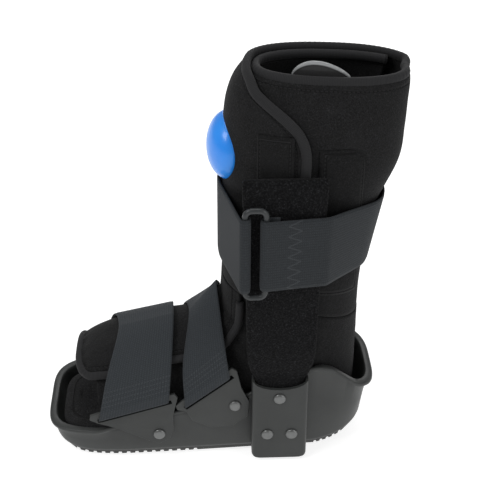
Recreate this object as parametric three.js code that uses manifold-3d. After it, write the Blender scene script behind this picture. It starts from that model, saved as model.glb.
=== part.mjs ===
// Medical walking boot, the short pneumatic kind, in millimetres.
// The sole rests on Z = 0, the toe points along -X, X = 0 is the uprights' centreline, -Y is the left side.

import * as THREE from "three";
import { mergeVertices } from "three/addons/utils/BufferGeometryUtils.js";
import Module from "manifold-3d";

const wasm = await Module();
wasm.setup();

// Shell and sole
const TOE_REACH = 180.5; // uprights' centreline to the toe wall
const HEEL_REACH = 71; // uprights' centreline to the heel wall
const BALL_HALF = 51; // half width of the shell at the ball of the foot
const WAIST_HALF = 46.3; // half width of the shell at the uprights
const SHELL_WALL = 3;
const SHELL_BASE = 3.5; // least floor thickness, where the heel curls up
const LIP = 3; // how far the toe rim and heel rim stand out
const HEEL_FLARE = 4;
const TOE_RIM = 30; // height of the rim round the toe
const HEEL_PEAK = 83.5; // height of the rim's two ears behind the uprights
const TREAD = 4.7; // thickness of the outsole
const TREAD_INSET = 6;
const GROOVE = 1.6;
const FLOOR_RISE = 6; // shell floor's top above the outsole
const PAD_THICK = 15.6; // insole at the toe

// Liner
const BOOT_HEIGHT = 322;
const LINER_CLEAR = 0.7; // liner to the shell's wall at the uprights
const FOAM = 5; // padded sheet of the liner
const BIND_THICK = 3.2; // half thickness of the edge binding
const BIND_WIDE = 4.4; // half width of the edge binding
const PATCH = 1; // loop fabric sewn on the liner

// Uprights, brackets and wings
const COVER_CLEAR = 2.4; // outer flap to an upright's cover
const COVER_THICK = 7.2;
const COVER_HALF = 30.5;
const COVER_HEIGHT = 252;
const BRACKET_WIDE = 43.4;
const BRACKET_TOP = 78.4;
const BRACKET_FOOT = 3;
const BRACKET_PLATE = 2.8;
const BRACKET_FLANGE = 1.9;
const BRACKET_DEEP = 10.6;
const WING_THICK = 2.2;
const RIVET = 4.7; // radius of a rivet's head
const RIVET_HIGH = 2;

// Straps, ring and bulb
const WEB = 1.8; // webbing thickness
const FRONT_STRAP = 58;
const INSTEP_STRAP = 45;
const CALF_STRAP = 57.5;
const CALF_CLEAR = 2.7; // calf strap to the bulb above it
const RING_BAR = 2.2;
const RING_WIDE = 15;
const RING_X = -21;
const BULB_UP = 25.6; // half height of the pump bulb
const BULB_ACROSS = 24;
const BULB_OUT = 16.4;
const BULB_PLACE = 0.77; // bulb's middle as a share of the leg's rise

const GAP = 0.3; // between neighbouring pieces

const TREAD_TOP = TREAD + GAP;
const FLOOR = TREAD_TOP + FLOOR_RISE;
const PAD_TOP = FLOOR + GAP + PAD_THICK;
const LAYER = FOAM + 2 * GAP; // from the inner flap's face to the outer flap's face
const LEG_RISE = BOOT_HEIGHT - PAD_TOP;
const LINER_HALF = WAIST_HALF - SHELL_WALL - LINER_CLEAR;
const COVER_INNER = LINER_HALF + LAYER + COVER_CLEAR; // cover's inner face from the middle plane
const BULB_Z = PAD_TOP + BULB_PLACE * LEG_RISE;
const CALF_MIDDLE = BULB_Z - BULB_UP - CALF_CLEAR - CALF_STRAP / 2; // the calf strap at the ring

const lerp = THREE.MathUtils.lerp;
const clamp01 = (value) => Math.min(1, Math.max(0, value));
const smooth = (value, from, to) => THREE.MathUtils.smoothstep(value, from, to);
const point = (x, y, z) => new THREE.Vector3(x, y, z);

const finish = (color, roughness, metalness = 0) =>
  new THREE.MeshStandardMaterial({ color, roughness, metalness });

const materials = {
  plastic: () => finish(0x3c3e3e, 0.45),
  rubber: () => finish(0x2c2d2c, 0.8),
  foam: () => finish(0x1d1d1d, 0.95),
  tape: () => finish(0x2b2b2b, 0.9),
  loop: () => finish(0x191919, 1),
  webbing: () => finish(0x30343a, 0.85),
  steel: () => finish(0x6d7070, 0.4, 0.6),
  bulb: () => finish(0x2a7fe0, 0.4),
  vinyl: () => finish(0xb9bcbc, 0.35),
};

const boot = new THREE.Group();
boot.name = "walking_boot";

function addMesh(name, geometry, material) {
  const mesh = new THREE.Mesh(geometry, material());
  mesh.name = name;
  boot.add(mesh);
  return mesh;
}

// Meshes from rings of points

function signedVolume(points, faces) {
  let sum = 0;
  for (const [a, b, c] of faces) sum += points[a].dot(points[b].clone().cross(points[c]));
  return sum;
}

function geometryOf(points, faces) {
  const turned = signedVolume(points, faces) < 0 ? faces.map(([a, b, c]) => [a, c, b]) : faces;
  const geometry = new THREE.BufferGeometry();
  geometry.setAttribute("position", new THREE.Float32BufferAttribute(points.flatMap((p) => p.toArray()), 3));
  geometry.setIndex(turned.flat());
  geometry.computeVertexNormals();
  return geometry;
}

// Joins rings that have the same number of points. An open run of rings gets a cap at each end,
// which pairs each point with the one opposite it in the ring's order.
function loft(rings, closed = false) {
  const count = rings[0].length;
  const faces = [];
  const quad = (a, b, c, d) => faces.push([a, b, c], [a, c, d]);
  const steps = closed ? rings.length : rings.length - 1;
  for (let row = 0; row < steps; row++) {
    const low = row * count;
    const high = ((row + 1) % rings.length) * count;
    for (let i = 0; i < count; i++) {
      const next = (i + 1) % count;
      quad(low + i, low + next, high + next, high + i);
    }
  }
  if (!closed) {
    const last = (rings.length - 1) * count;
    for (let i = 0; i < count / 2 - 1; i++) {
      const [a, b, c, d] = [i, i + 1, count - 2 - i, count - 1 - i];
      quad(d, c, b, a);
      quad(last + a, last + b, last + c, last + d);
    }
  }
  return geometryOf(rings.flat(), faces);
}

function manifoldOf(geometry) {
  const bare = new THREE.BufferGeometry();
  bare.setAttribute("position", geometry.getAttribute("position"));
  bare.setIndex(geometry.index);
  const merged = mergeVertices(bare, 1e-4);
  const mesh = new wasm.Mesh({
    numProp: 3,
    vertProperties: new Float32Array(merged.attributes.position.array),
    triVerts: new Uint32Array(merged.index.array),
  });
  return new wasm.Manifold(mesh);
}

function geometryFrom(solid) {
  const mesh = solid.getMesh();
  const geometry = new THREE.BufferGeometry();
  const stride = mesh.numProp;
  const positions = new Float32Array(mesh.numVert * 3);
  for (let i = 0; i < mesh.numVert; i++) {
    positions.set(mesh.vertProperties.subarray(i * stride, i * stride + 3), i * 3);
  }
  geometry.setAttribute("position", new THREE.BufferAttribute(positions, 3));
  geometry.setIndex(new THREE.BufferAttribute(new Uint32Array(mesh.triVerts), 1));
  geometry.computeVertexNormals();
  return geometry;
}

// Keeps the body with the most faces and drops slivers that a cut has left loose.
function mainBody(geometry) {
  const corners = Array.from(geometry.index.array);
  const parent = Array.from({ length: geometry.getAttribute("position").count }, (_, i) => i);
  const rootOf = (i) => {
    while (parent[i] !== i) i = parent[i];
    return i;
  };
  for (let i = 0; i < corners.length; i += 3) {
    const root = rootOf(corners[i]);
    parent[rootOf(corners[i + 1])] = root;
    parent[rootOf(corners[i + 2])] = root;
  }
  const sizes = new Map();
  for (const corner of corners) sizes.set(rootOf(corner), (sizes.get(rootOf(corner)) || 0) + 1);
  const [main] = [...sizes].sort((a, b) => b[1] - a[1])[0];
  const bare = new THREE.BufferGeometry();
  bare.setAttribute("position", geometry.getAttribute("position"));
  bare.setIndex(corners.filter((corner) => rootOf(corner) === main));
  const kept = bare.toNonIndexed();
  const merged = mergeVertices(kept, 1e-5);
  merged.computeVertexNormals();
  return merged;
}

// Turns the faces over, for a body that has been mirrored.
function turnedFaces(geometry) {
  const corners = Array.from(geometry.index.array);
  for (let i = 0; i < corners.length; i += 3) {
    [corners[i], corners[i + 1]] = [corners[i + 1], corners[i]];
  }
  geometry.setIndex(corners);
  geometry.computeVertexNormals();
  return geometry;
}

function carve(geometry, cutters) {
  let solid = manifoldOf(geometry);
  for (const cutter of cutters) solid = solid.subtract(manifoldOf(cutter));
  return mainBody(geometryFrom(solid));
}

// Reads a table of rows with a smooth curve through its values; at runs from 0 to the last row.
function readTable(table, column, at) {
  const last = table.length - 1;
  const row = Math.min(last - 1, Math.max(0, Math.floor(at)));
  const part = at - row;
  const value = (i) => table[Math.min(last, Math.max(0, i))][column];
  const [before, from, to, after] = [value(row - 1), value(row), value(row + 1), value(row + 2)];
  const startSlope = (to - before) / 2;
  const endSlope = (after - from) / 2;
  const square = part * part;
  const cube = square * part;
  const fromShare = 2 * cube - 3 * square + 1;
  const startShare = cube - 2 * square + part;
  const toShare = 3 * square - 2 * cube;
  const endShare = cube - square;
  return fromShare * from + startShare * startSlope + toShare * to + endShare * endSlope;
}

// Reads a table by the value of its key column, with straight lines between rows.
function lookUp(table, key, column, value) {
  if (value <= table[0][key]) return table[0][column];
  for (let i = 1; i < table.length; i++) {
    const [from, to] = [table[i - 1], table[i]];
    if (value <= to[key]) return lerp(from[column], to[column], (value - from[key]) / (to[key] - from[key]));
  }
  return table[table.length - 1][column];
}

// Finds where a rising or falling function passes zero.
function findZero(value, from, to) {
  let [low, high] = [from, to];
  const sign = Math.sign(value(low)) || 1;
  for (let i = 0; i < 30; i++) {
    const middle = (low + high) / 2;
    if (value(middle) * sign > 0) low = middle;
    else high = middle;
  }
  return (low + high) / 2;
}

const steps = (count) => Array.from({ length: count + 1 }, (_, i) => i / count);

// Shell

const along = (share) => share * (share < 0 ? TOE_REACH : HEEL_REACH);
const shareAlong = (x) => x / (x < 0 ? TOE_REACH : HEEL_REACH);

// Rim height between the toe rim, 0, and the heel's ears, 1, by the place along the sole.
const RIM = [
  { place: -1, rise: 0 },
  { place: -0.78, rise: 0.01 },
  { place: -0.7, rise: 0.07 },
  { place: -0.46, rise: 0.28 },
  { place: -0.4, rise: 0.33 },
  { place: -0.33, rise: 0.31 },
  { place: -0.24, rise: 0.38 },
  { place: -0.12, rise: 0.58 },
  { place: 0, rise: 0.78 },
  { place: 0.31, rise: 0.95 },
  { place: 0.45, rise: 1 },
  { place: 0.59, rise: 0.94 },
  { place: 0.74, rise: 0.77 },
  { place: 0.88, rise: 0.6 },
  { place: 1.1, rise: 0.5 },
];
const rimHeight = (x) => lerp(TOE_RIM, HEEL_PEAK, lookUp(RIM, "place", "rise", shareAlong(x)));

const TOE_BEND = -0.815 * TOE_REACH; // the sole is flat between these two
const HEEL_BEND = 0.34 * HEEL_REACH;
const TOE_CURL = 0.008;
const HEEL_CURL = 0.0072;
const rocker = (x) =>
  TOE_CURL * Math.min(0, x - TOE_BEND) ** 2 + HEEL_CURL * Math.max(0, x - HEEL_BEND) ** 2;
const baseHeight = (x) => TREAD_TOP + rocker(x);
const floorHeight = (x) => Math.max(FLOOR, baseHeight(x) + SHELL_BASE);

const sideHalf = (x) =>
  lerp(BALL_HALF, WAIST_HALF, clamp01((x + 0.7 * TOE_REACH) / (0.59 * TOE_REACH)));
const lipShare = (x) =>
  1 - smooth(x, -0.8 * TOE_REACH, -0.72 * TOE_REACH) + smooth(x, 0.32 * HEEL_REACH, 0.5 * HEEL_REACH);

const TOE_SQUARE = { left: 5.5, right: 4 }; // exponents that square the plan outline's corners
const HEEL_SQUARE = 4;
const squareAt = (toe, right) => (toe ? TOE_SQUARE[right ? "right" : "left"] : HEEL_SQUARE);
const PLAN_MIDDLE = (HEEL_REACH - TOE_REACH) / 2;
const PLAN_LONG = (HEEL_REACH + TOE_REACH) / 2;

// A point of the plan outline, grown outwards by grow; turn goes once round from 0 to 1.
function planPoint(turn, grow) {
  const angle = turn * 2 * Math.PI;
  const [cos, sin] = [Math.cos(angle), Math.sin(angle)];
  const power = 2 / squareAt(cos > 0, sin < 0);
  const x = PLAN_MIDDLE - Math.sign(cos) * (PLAN_LONG + grow) * Math.abs(cos) ** power;
  const y = -Math.sign(sin) * (sideHalf(x) + grow) * Math.abs(sin) ** power;
  return [x, y];
}

function shellRing(grow, height) {
  const count = 48;
  const ring = [];
  for (let i = 0; i < count; i++) {
    const turn = (i + 0.5) / count;
    const [x] = planPoint(turn, 0);
    const [px, py] = planPoint(turn, grow(x));
    ring.push(point(px, py, height(px)));
  }
  return ring;
}

const flare = (x) => HEEL_FLARE * smooth(x, 0.45 * HEEL_REACH, HEEL_REACH);

function shellGeometry() {
  const edge = (x) => LIP * lipShare(x) + flare(x);
  return loft([
    shellRing(() => -16, baseHeight),
    shellRing(() => -5.5, baseHeight),
    shellRing(() => -1.6, (x) => baseHeight(x) + 4),
    shellRing((x) => 0.7 * flare(x), (x) => rimHeight(x) - 4.5),
    shellRing(edge, (x) => rimHeight(x) - 2.4),
    shellRing(edge, (x) => rimHeight(x) - 0.7),
    shellRing((x) => edge(x) - 0.8, rimHeight),
    shellRing((x) => flare(x) - SHELL_WALL + 0.4, rimHeight),
    shellRing((x) => 0.8 * flare(x) - SHELL_WALL, (x) => rimHeight(x) - 4),
    shellRing(() => -SHELL_WALL - 1.6, (x) => floorHeight(x) + 4),
    shellRing(() => -SHELL_WALL - 4.5, floorHeight),
  ]);
}

// Outsole, with cross grooves under the ball and the heel

const TREAD_START = -0.945 * TOE_REACH;
const TREAD_END = 0.845 * HEEL_REACH;
const BALL_GROOVES = { from: -0.9, to: -0.34, count: 15 };
const HEEL_GROOVES = { from: 0.42, to: 0.78, count: 5 };
const GROOVE_SHARE = 0.4; // part of the pitch that a groove takes
const SLANT = 0.4;

function treadStations() {
  const stations = [{ x: TREAD_START, cut: 0 }];
  for (const zone of [BALL_GROOVES, HEEL_GROOVES]) {
    const [start, end] = [along(zone.from), along(zone.to)];
    const pitch = (end - start) / zone.count;
    for (let i = 0; i < zone.count; i++) {
      const x = start + i * pitch;
      stations.push({ x, cut: 0 }, { x: x + SLANT, cut: GROOVE });
      stations.push({ x: x + GROOVE_SHARE * pitch, cut: GROOVE });
      stations.push({ x: x + GROOVE_SHARE * pitch + SLANT, cut: 0 });
    }
  }
  stations.push({ x: TREAD_END, cut: 0 });
  return stations;
}

// Half width of the outsole on one side, from the plan outline drawn in by its inset.
function treadHalf(x, right) {
  const power = squareAt(x < PLAN_MIDDLE, right);
  const reach = (PLAN_MIDDLE - x) / (PLAN_LONG - TREAD_INSET);
  return (sideHalf(x) - TREAD_INSET) * (1 - Math.abs(reach) ** power) ** (1 / power);
}

const TREAD_DRAFT = 0.6; // how much narrower the outsole is at its lower face

function outsoleGeometry() {
  const rings = treadStations().map(({ x, cut }) => {
    const [left, right] = [-treadHalf(x, false), treadHalf(x, true)];
    const low = rocker(x) + cut;
    const top = rocker(x) + TREAD;
    return [
      point(x, left, top),
      point(x, left + TREAD_DRAFT, low),
      point(x, right - TREAD_DRAFT, low),
      point(x, right, top),
    ];
  });
  return loft(rings);
}

// Insole pad, which fills the shell's bed from toe to heel

function padRing(grow, height) {
  const count = 28;
  const ring = [];
  for (let i = 0; i < count; i++) {
    const [x, y] = planPoint((i + 0.5) / count, -SHELL_WALL - 4.7 + grow);
    ring.push(point(x, y, height(x)));
  }
  return ring;
}

const TOE_DIP = 0.8; // how far the pad's top sinks at the toe

function insoleGeometry() {
  const under = (x) => floorHeight(x) + GAP;
  const level = (below) => () => PAD_TOP - below;
  return loft([
    padRing(-14, under),
    padRing(-3.4, under),
    padRing(-0.6, (x) => under(x) + 3.4),
    padRing(0, (x) => lerp(under(x), PAD_TOP, 0.75)),
    padRing(-1.6, level(0.9)),
    padRing(-5, level(0)),
    padRing(-14, (x) => PAD_TOP - TOE_DIP * smooth(-x, 0.6 * TOE_REACH, 0.8 * TOE_REACH)),
  ]);
}

// Liner. Each row is one section through the boot, from the top rim down the leg, round the heel and
// out to the toes. front and back are shares of the reaches, top and low of the leg's rise above the
// insole, half of the liner's half width, shift moves the section across, square squares its back.
const SECTIONS = [
  { front: -0.12, top: 0.984, back: 1.275, low: 0.968, half: 0.7, shift: -0.05, square: 2.3 },
  { front: -0.165, top: 0.942, back: 1.285, low: 0.942, half: 0.8, shift: -0.02, square: 2.3 },
  { front: -0.19, top: 0.893, back: 1.275, low: 0.893, half: 0.9, shift: -0.01, square: 2.3 },
  { front: -0.203, top: 0.83, back: 1.265, low: 0.83, half: 0.97, shift: 0, square: 2.3 },
  { front: -0.206, top: 0.745, back: 1.23, low: 0.745, half: 1, shift: 0, square: 2.3 },
  { front: -0.206, top: 0.635, back: 1.035, low: 0.63, half: 1, shift: 0, square: 2.3 },
  { front: -0.206, top: 0.545, back: 0.955, low: 0.525, half: 1, shift: 0, square: 2.3 },
  { front: -0.206, top: 0.47, back: 0.9, low: 0.42, half: 1, shift: 0, square: 2.4 },
  { front: -0.209, top: 0.41, back: 0.885, low: 0.31, half: 0.985, shift: 0, square: 2.5 },
  { front: -0.222, top: 0.325, back: 0.885, low: 0.2, half: 0.965, shift: 0, square: 2.6 },
  { front: -0.262, top: 0.295, back: 0.875, low: 0.08, half: 0.95, shift: 0, square: 2.8 },
  { front: -0.316, top: 0.27, back: 0.76, low: -0.035, half: 0.945, shift: 0, square: 3 },
  { front: -0.38, top: 0.246, back: 0.3, low: -0.055, half: 0.95, shift: 0, square: 3.2 },
  { front: -0.48, top: 0.232, back: -0.1, low: -0.055, half: 0.965, shift: 0, square: 3.4 },
  { front: -0.59, top: 0.222, back: -0.35, low: -0.055, half: 0.985, shift: 0, square: 3.4 },
  { front: -0.69, top: 0.197, back: -0.58, low: -0.055, half: 1, shift: 0, square: 3.4 },
  { front: -0.78, top: 0.174, back: -0.74, low: -0.055, half: 1, shift: 0, square: 3.2 },
  { front: -0.865, top: 0.143, back: -0.84, low: -0.055, half: 0.97, shift: 0, square: 3 },
];
const ANKLE = 8; // the row where the leg wrap meets the foot wrap
const TOE_ROW = SECTIONS.length - 1;
const FRONT_SQUARE = 2.35;

// A point of the liner's outer face. row picks the section; round is 0 at the shin and instep,
// rises to 0.5 along the left side to the back and sole, and falls to -0.5 along the right side.
function linerPoint(row, round) {
  const read = (column) => readTable(SECTIONS, column, row);
  const front = [along(read("front")), PAD_TOP + read("top") * LEG_RISE];
  const back = [along(read("back")), PAD_TOP + read("low") * LEG_RISE];
  const angle = round * 2 * Math.PI;
  const [cos, sin] = [Math.cos(angle), Math.sin(angle)];
  const power = 2 / (cos > 0 ? FRONT_SQUARE : read("square"));
  const depth = (Math.sign(cos) * Math.abs(cos) ** power + 1) / 2;
  const across = Math.sign(sin) * Math.abs(sin) ** power;
  const y = LINER_HALF * (read("shift") - read("half") * across);
  return point(lerp(back[0], front[0], depth), y, lerp(back[1], front[1], depth));
}

const STEP = 0.004;
function linerOffset(row, round, offset) {
  const here = linerPoint(row, round);
  const downBoot = linerPoint(Math.min(TOE_ROW, row + STEP), round).sub(linerPoint(Math.max(0, row - STEP), round));
  const roundBoot = linerPoint(row, round + STEP).sub(linerPoint(row, round - STEP));
  const normal = downBoot.cross(roundBoot).normalize();
  return here.addScaledVector(normal, offset);
}

// The row at which a place round the liner is at the given height.
const rowAtHeight = (round, height, from = 0, to = ANKLE) =>
  findZero((row) => linerPoint(row, round).z - height, from, to);

const roundAtX = (row, x) => findZero((round) => linerPoint(row, round).x - x, 0.001, 0.499);

// Where the foot wrap ends above the insole on either side.
function lowestRound(row) {
  const height = PAD_TOP + GAP + 0.2;
  if (linerPoint(row, 0.4995).z > height) return 0.4995;
  return findZero((round) => linerPoint(row, round).z - height, 0.2, 0.4995);
}

// A padded sheet between two rounds over a run of rows; lift gives its outer face's offset.
function sheet(rows, columns, from, to, lift, thickness) {
  const rings = rows.map((row) => {
    const rounds = steps(columns).map((share) => lerp(from(row), to(row), share));
    const outer = rounds.map((round) => linerOffset(row, round, lift(row, round)));
    const inner = rounds.map((round) => linerOffset(row, round, lift(row, round) - thickness));
    return [...outer, ...inner.reverse()];
  });
  return loft(rings);
}

// A rolled edge along a run of points, each with its out-of-sheet direction.
function bindingGeometry(stations, grow = 0) {
  const sides = 6;
  const rings = stations.map(({ at, out }, i) => {
    const before = stations[Math.max(0, i - 1)].at;
    const after = stations[Math.min(stations.length - 1, i + 1)].at;
    const along = after.clone().sub(before).normalize();
    const across = along.clone().cross(out).normalize();
    const up = across.clone().cross(along).normalize();
    const ring = [];
    for (let k = 0; k < sides; k++) {
      const angle = ((k + 0.5) / sides) * 2 * Math.PI;
      const side = (BIND_WIDE + grow) * Math.cos(angle);
      const rise = (BIND_THICK + grow) * Math.sin(angle);
      ring.push(at.clone().addScaledVector(across, side).addScaledVector(up, rise));
    }
    return ring;
  });
  return loft(rings);
}

function bindingStation(row, round, offset) {
  const at = linerOffset(row, round, offset);
  const out = linerOffset(row, round, offset + 1).sub(at);
  return { at, out };
}

const SEAM = 0.49976; // the two flaps meet along the back at this round
const FREE_END = -0.385; // the inner flap's free edge, inside the far side
// The outer flap comes out of the back seam and rises over the inner flap's free edge.
const legLift = (round) => LAYER * smooth(round, -0.49, -0.43);
const footLift = (round) => LAYER * smooth(round, -0.17, -0.125);
const outerLift = (row, round) => lerp(legLift(round), footLift(round), smooth(row, ANKLE, ANKLE + 1.3));
const INNER_BIND = -BIND_THICK;
const OUTER_BIND = GAP + BIND_THICK;

// The outer flap's curved front edge on the left side: height above the insole as a share of the
// leg's rise, and place along the boot as a share of the heel's reach.
const FLAP_EDGE = [
  { high: 0.44, place: 0.2 },
  { high: 0.76, place: 0.21 },
  { high: 0.8, place: 0.215 },
  { high: 0.83, place: 0.2 },
  { high: 0.865, place: 0.13 },
  { high: 0.893, place: 0.01 },
  { high: 0.92, place: -0.15 },
  { high: 0.945, place: -0.29 },
];
const FLAP_TOP_ROUND = -0.045;

function outerEdgeRound(row) {
  if (row > 7.5) return roundAtX(row, HEEL_REACH * FLAP_EDGE[0].place);
  const high = (linerPoint(row, 0.2).z - PAD_TOP) / LEG_RISE;
  const place = lookUp(FLAP_EDGE, "high", "place", high);
  const low = roundAtX(row, HEEL_REACH * place);
  return lerp(FLAP_TOP_ROUND, low, smooth(row, -0.35, 0.7));
}

function rimBinding(from, to, offset, count) {
  return steps(count).map((share) => bindingStation(0, lerp(from, to, share), offset));
}

const LEG_ROWS = [0, 0.3, 0.6, 1, 1.5, 2, 2.6, 3.3, 4.2, 5.2, 6.5, ANKLE];

function legWrap() {
  const innerBand = rimBinding(SEAM, FREE_END, INNER_BIND, 34);
  const outerStart = -SEAM;
  const outerBand = steps(16).map((share) => {
    const round = lerp(outerStart, FLAP_TOP_ROUND, share);
    return bindingStation(0, round, lerp(INNER_BIND, OUTER_BIND, smooth(round, -0.49, -0.43)));
  });
  for (const row of [0.12, 0.28, 0.5, 0.75, 1, 1.3, 1.6, 1.9, 2.2, 2.5, 2.8, 3.1, 3.4, 3.65]) {
    outerBand.push(bindingStation(row, outerEdgeRound(row), OUTER_BIND));
  }

  const inner = sheet(LEG_ROWS, 19, () => FREE_END, () => SEAM, () => 0, FOAM);
  const outer = sheet(LEG_ROWS, 18, () => outerStart, outerEdgeRound, outerLift, FOAM);
  const innerRoll = bindingGeometry(innerBand, GAP);
  const outerRoll = bindingGeometry(outerBand, GAP);
  addMesh("leg_wrap_inner", carve(inner, [innerRoll, outerRoll]), materials.foam);
  addMesh("leg_wrap_outer", carve(outer, [innerRoll, outerRoll, bulbHole()]), materials.foam);
  addMesh("binding_inner", bindingGeometry(innerBand), materials.tape);
  addMesh("binding_outer", carve(bindingGeometry(outerBand), [innerRoll]), materials.tape);
}

// One ring of the pump bulb's outline at the shin, drawn in by size and standing off the inner flap.
function bulbRing(grow, size, offset) {
  const around = 16;
  const roundScale = (BULB_ACROSS + grow) / (2 * Math.PI * LINER_HALF);
  return Array.from({ length: around }, (_, i) => {
    const angle = ((i + 0.5) / around) * 2 * Math.PI;
    const row = rowAtHeight(0, BULB_Z + size * (BULB_UP + grow) * Math.sin(angle));
    return linerOffset(row, size * roundScale * Math.cos(angle), offset);
  });
}

const BULB_RIM = 0.16; // height of the bulb's upright rim as a share of how far it stands out

function bulbGeometry() {
  const seat = 2 * GAP;
  const base = [0.3, 0.7, 1].map((size) => bulbRing(0, size, seat));
  const rim = bulbRing(0, 1, seat + BULB_RIM * BULB_OUT);
  const dome = [0.96, 0.86, 0.68, 0.42, 0.15].map((size) =>
    bulbRing(0, size, seat + BULB_OUT * Math.sqrt(1 - size * size)),
  );
  return loft([...base, rim, ...dome]);
}

// The block that cuts the outer flap's hole round the bulb.
function bulbHole() {
  const clearance = 4 * GAP;
  const low = [0.3, 1].map((size) => bulbRing(clearance, size, -GAP));
  const high = [1, 0.3].map((size) => bulbRing(clearance, size, 2 * LAYER));
  return loft([...low, ...high]);
}

// Foot wrap: the left half lies inside, the right half comes over the instep and on to the toes.
const FOOT_ROWS = [8.03, 9, 9.7, 10.4, 11, 11.6, 12.3, 13.5, 15, 16.2];
const TOE_ROWS = [...FOOT_ROWS, 16.5, 16.8, 17];
const FOOT_INNER_END = -0.07;
const FOOT_EDGE = [
  { row: 8, round: 0.11 },
  { row: 11, round: 0.125 },
  { row: 15.6, round: 0.135 },
  { row: 16.4, round: 0.12 },
  { row: 16.8, round: 0.08 },
  { row: 17, round: 0.03 },
];
const footEdge = (row) => lookUp(FOOT_EDGE, "row", "round", row);

function footWrap() {
  const lowLeft = (row) => Math.min(SEAM, lowestRound(row));
  const lowRight = (row) => -lowLeft(row);
  const inner = sheet(FOOT_ROWS, 14, () => FOOT_INNER_END, lowLeft, () => 0, FOAM);
  const outer = sheet(TOE_ROWS, 16, lowRight, footEdge, outerLift, FOAM);
  const band = [];
  for (const row of [8.35, 9, 10, 11, 12, 13, 14, 15, 15.6, 16.1, 16.45, 16.7, 16.87, 16.97]) {
    band.push(bindingStation(row, footEdge(row), OUTER_BIND));
  }
  for (const round of [-0.04, -0.1, -0.16, -0.22]) band.push(bindingStation(17, round, OUTER_BIND));
  addMesh("foot_wrap_inner", inner, materials.foam);
  addMesh("foot_wrap_outer", carve(outer, [bindingGeometry(band, GAP)]), materials.foam);
  addMesh("binding_foot", bindingGeometry(band), materials.tape);
}

// Loop fabric on the left side of the leg, and the small panel on the outer flap

const SIDE_PATCH = { low: 0.42, high: 0.818, start: 0.34, end: 0.8, corner: 0.09 };
const FLAP_PANEL = { low: 0.74, high: 0.855, start: -0.23, end: 0.1 };

function patchGeometry(shape, lift, columns, rows) {
  const height = (share) => PAD_TOP + lerp(shape.low, shape.high, share) * LEG_RISE;
  const corner = (shape.corner || 0) * HEEL_REACH;
  const rings = steps(rows).map((share) => {
    const z = height(share);
    const row = rowAtHeight(0.25, z);
    const fromTop = height(1) - z;
    const drawnIn = corner - Math.sqrt(Math.max(0, corner ** 2 - Math.max(0, corner - fromTop) ** 2));
    const ends = [roundAtX(row, shape.start * HEEL_REACH), roundAtX(row, shape.end * HEEL_REACH - drawnIn)];
    const rounds = steps(columns).map((part) => lerp(ends[0], ends[1], part));
    const outer = rounds.map((round) => linerOffset(row, round, lift + PATCH));
    const inner = rounds.map((round) => linerOffset(row, round, lift));
    return [...outer, ...inner.reverse()];
  });
  return loft(rings);
}

// Air bladder: the welded edge of its vinyl shows inside the left wall
const BLADDER = { start: 0.03, end: 0.66, low: 0.8, high: 1.028, thick: 1.6, lean: 0.2, stand: 3.5 };

function bladderGeometry() {
  const columns = 9;
  const rings = steps(5).map((share) => {
    const stations = steps(columns).map((part) => {
      const x = lerp(BLADDER.start, BLADDER.end, part) * HEEL_REACH;
      const crest = Math.sin(Math.PI * part ** 0.75) ** 0.7;
      const topShare = lerp(BLADDER.high - 0.045, BLADDER.high, crest);
      const z = PAD_TOP + lerp(BLADDER.low, topShare, share) * LEG_RISE;
      const row = rowAtHeight(0.25, Math.min(z, linerPoint(0, 0.25).z));
      const round = roundAtX(row, x);
      return { row, round, z, inwards: BLADDER.lean * share };
    });
    const wall = (depth) => stations.map(({ row, round, z, inwards }) => {
      const place = linerOffset(row, round, -FOAM - BLADDER.stand - depth - inwards);
      return place.setZ(z);
    });
    return [...wall(0), ...wall(BLADDER.thick).reverse()];
  });
  return loft(rings);
}

// Uprights in their covers, brackets and rivets; side is -1 on the left and 1 on the right

const COVER = [
  { high: 0.075, half: 0.63, seat: 0 },
  { high: 0.313, half: 0.63, seat: 0 },
  { high: 0.34, half: 0.76, seat: 0.3 },
  { high: 0.375, half: 0.83, seat: 0.7 },
  { high: 0.42, half: 0.86, seat: 1 },
  { high: 0.65, half: 0.89, seat: 1 },
  { high: 0.9, half: 0.97, seat: 1 },
  { high: 0.985, half: 1, seat: 1 },
  { high: 1, half: 0.985, seat: 1 },
];
const SEATED = WAIST_HALF + GAP + 0.3; // inner face of the cover inside the bracket
const COVER_FACE = COVER_INNER + COVER_THICK;

function coverGeometry(side) {
  const rings = COVER.map(({ high, half, seat }, i) => {
    const z = high * COVER_HEIGHT;
    const inner = lerp(SEATED, COVER_INNER, seat);
    const thick = (i === COVER.length - 1 ? 0.6 : 1) * COVER_THICK * lerp(0.93, 1, seat);
    const wide = half * COVER_HALF;
    const soft = 2.4;
    const outline = [
      [-wide + soft, inner],
      [-wide, inner + 0.3 * thick],
      [-wide, inner + 0.7 * thick],
      [-wide + soft, inner + thick],
      [wide - soft, inner + thick],
      [wide, inner + 0.7 * thick],
      [wide, inner + 0.3 * thick],
      [wide - soft, inner],
    ];
    return outline.map(([x, y]) => point(x, side * y, z));
  });
  return loft(rings);
}

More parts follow.
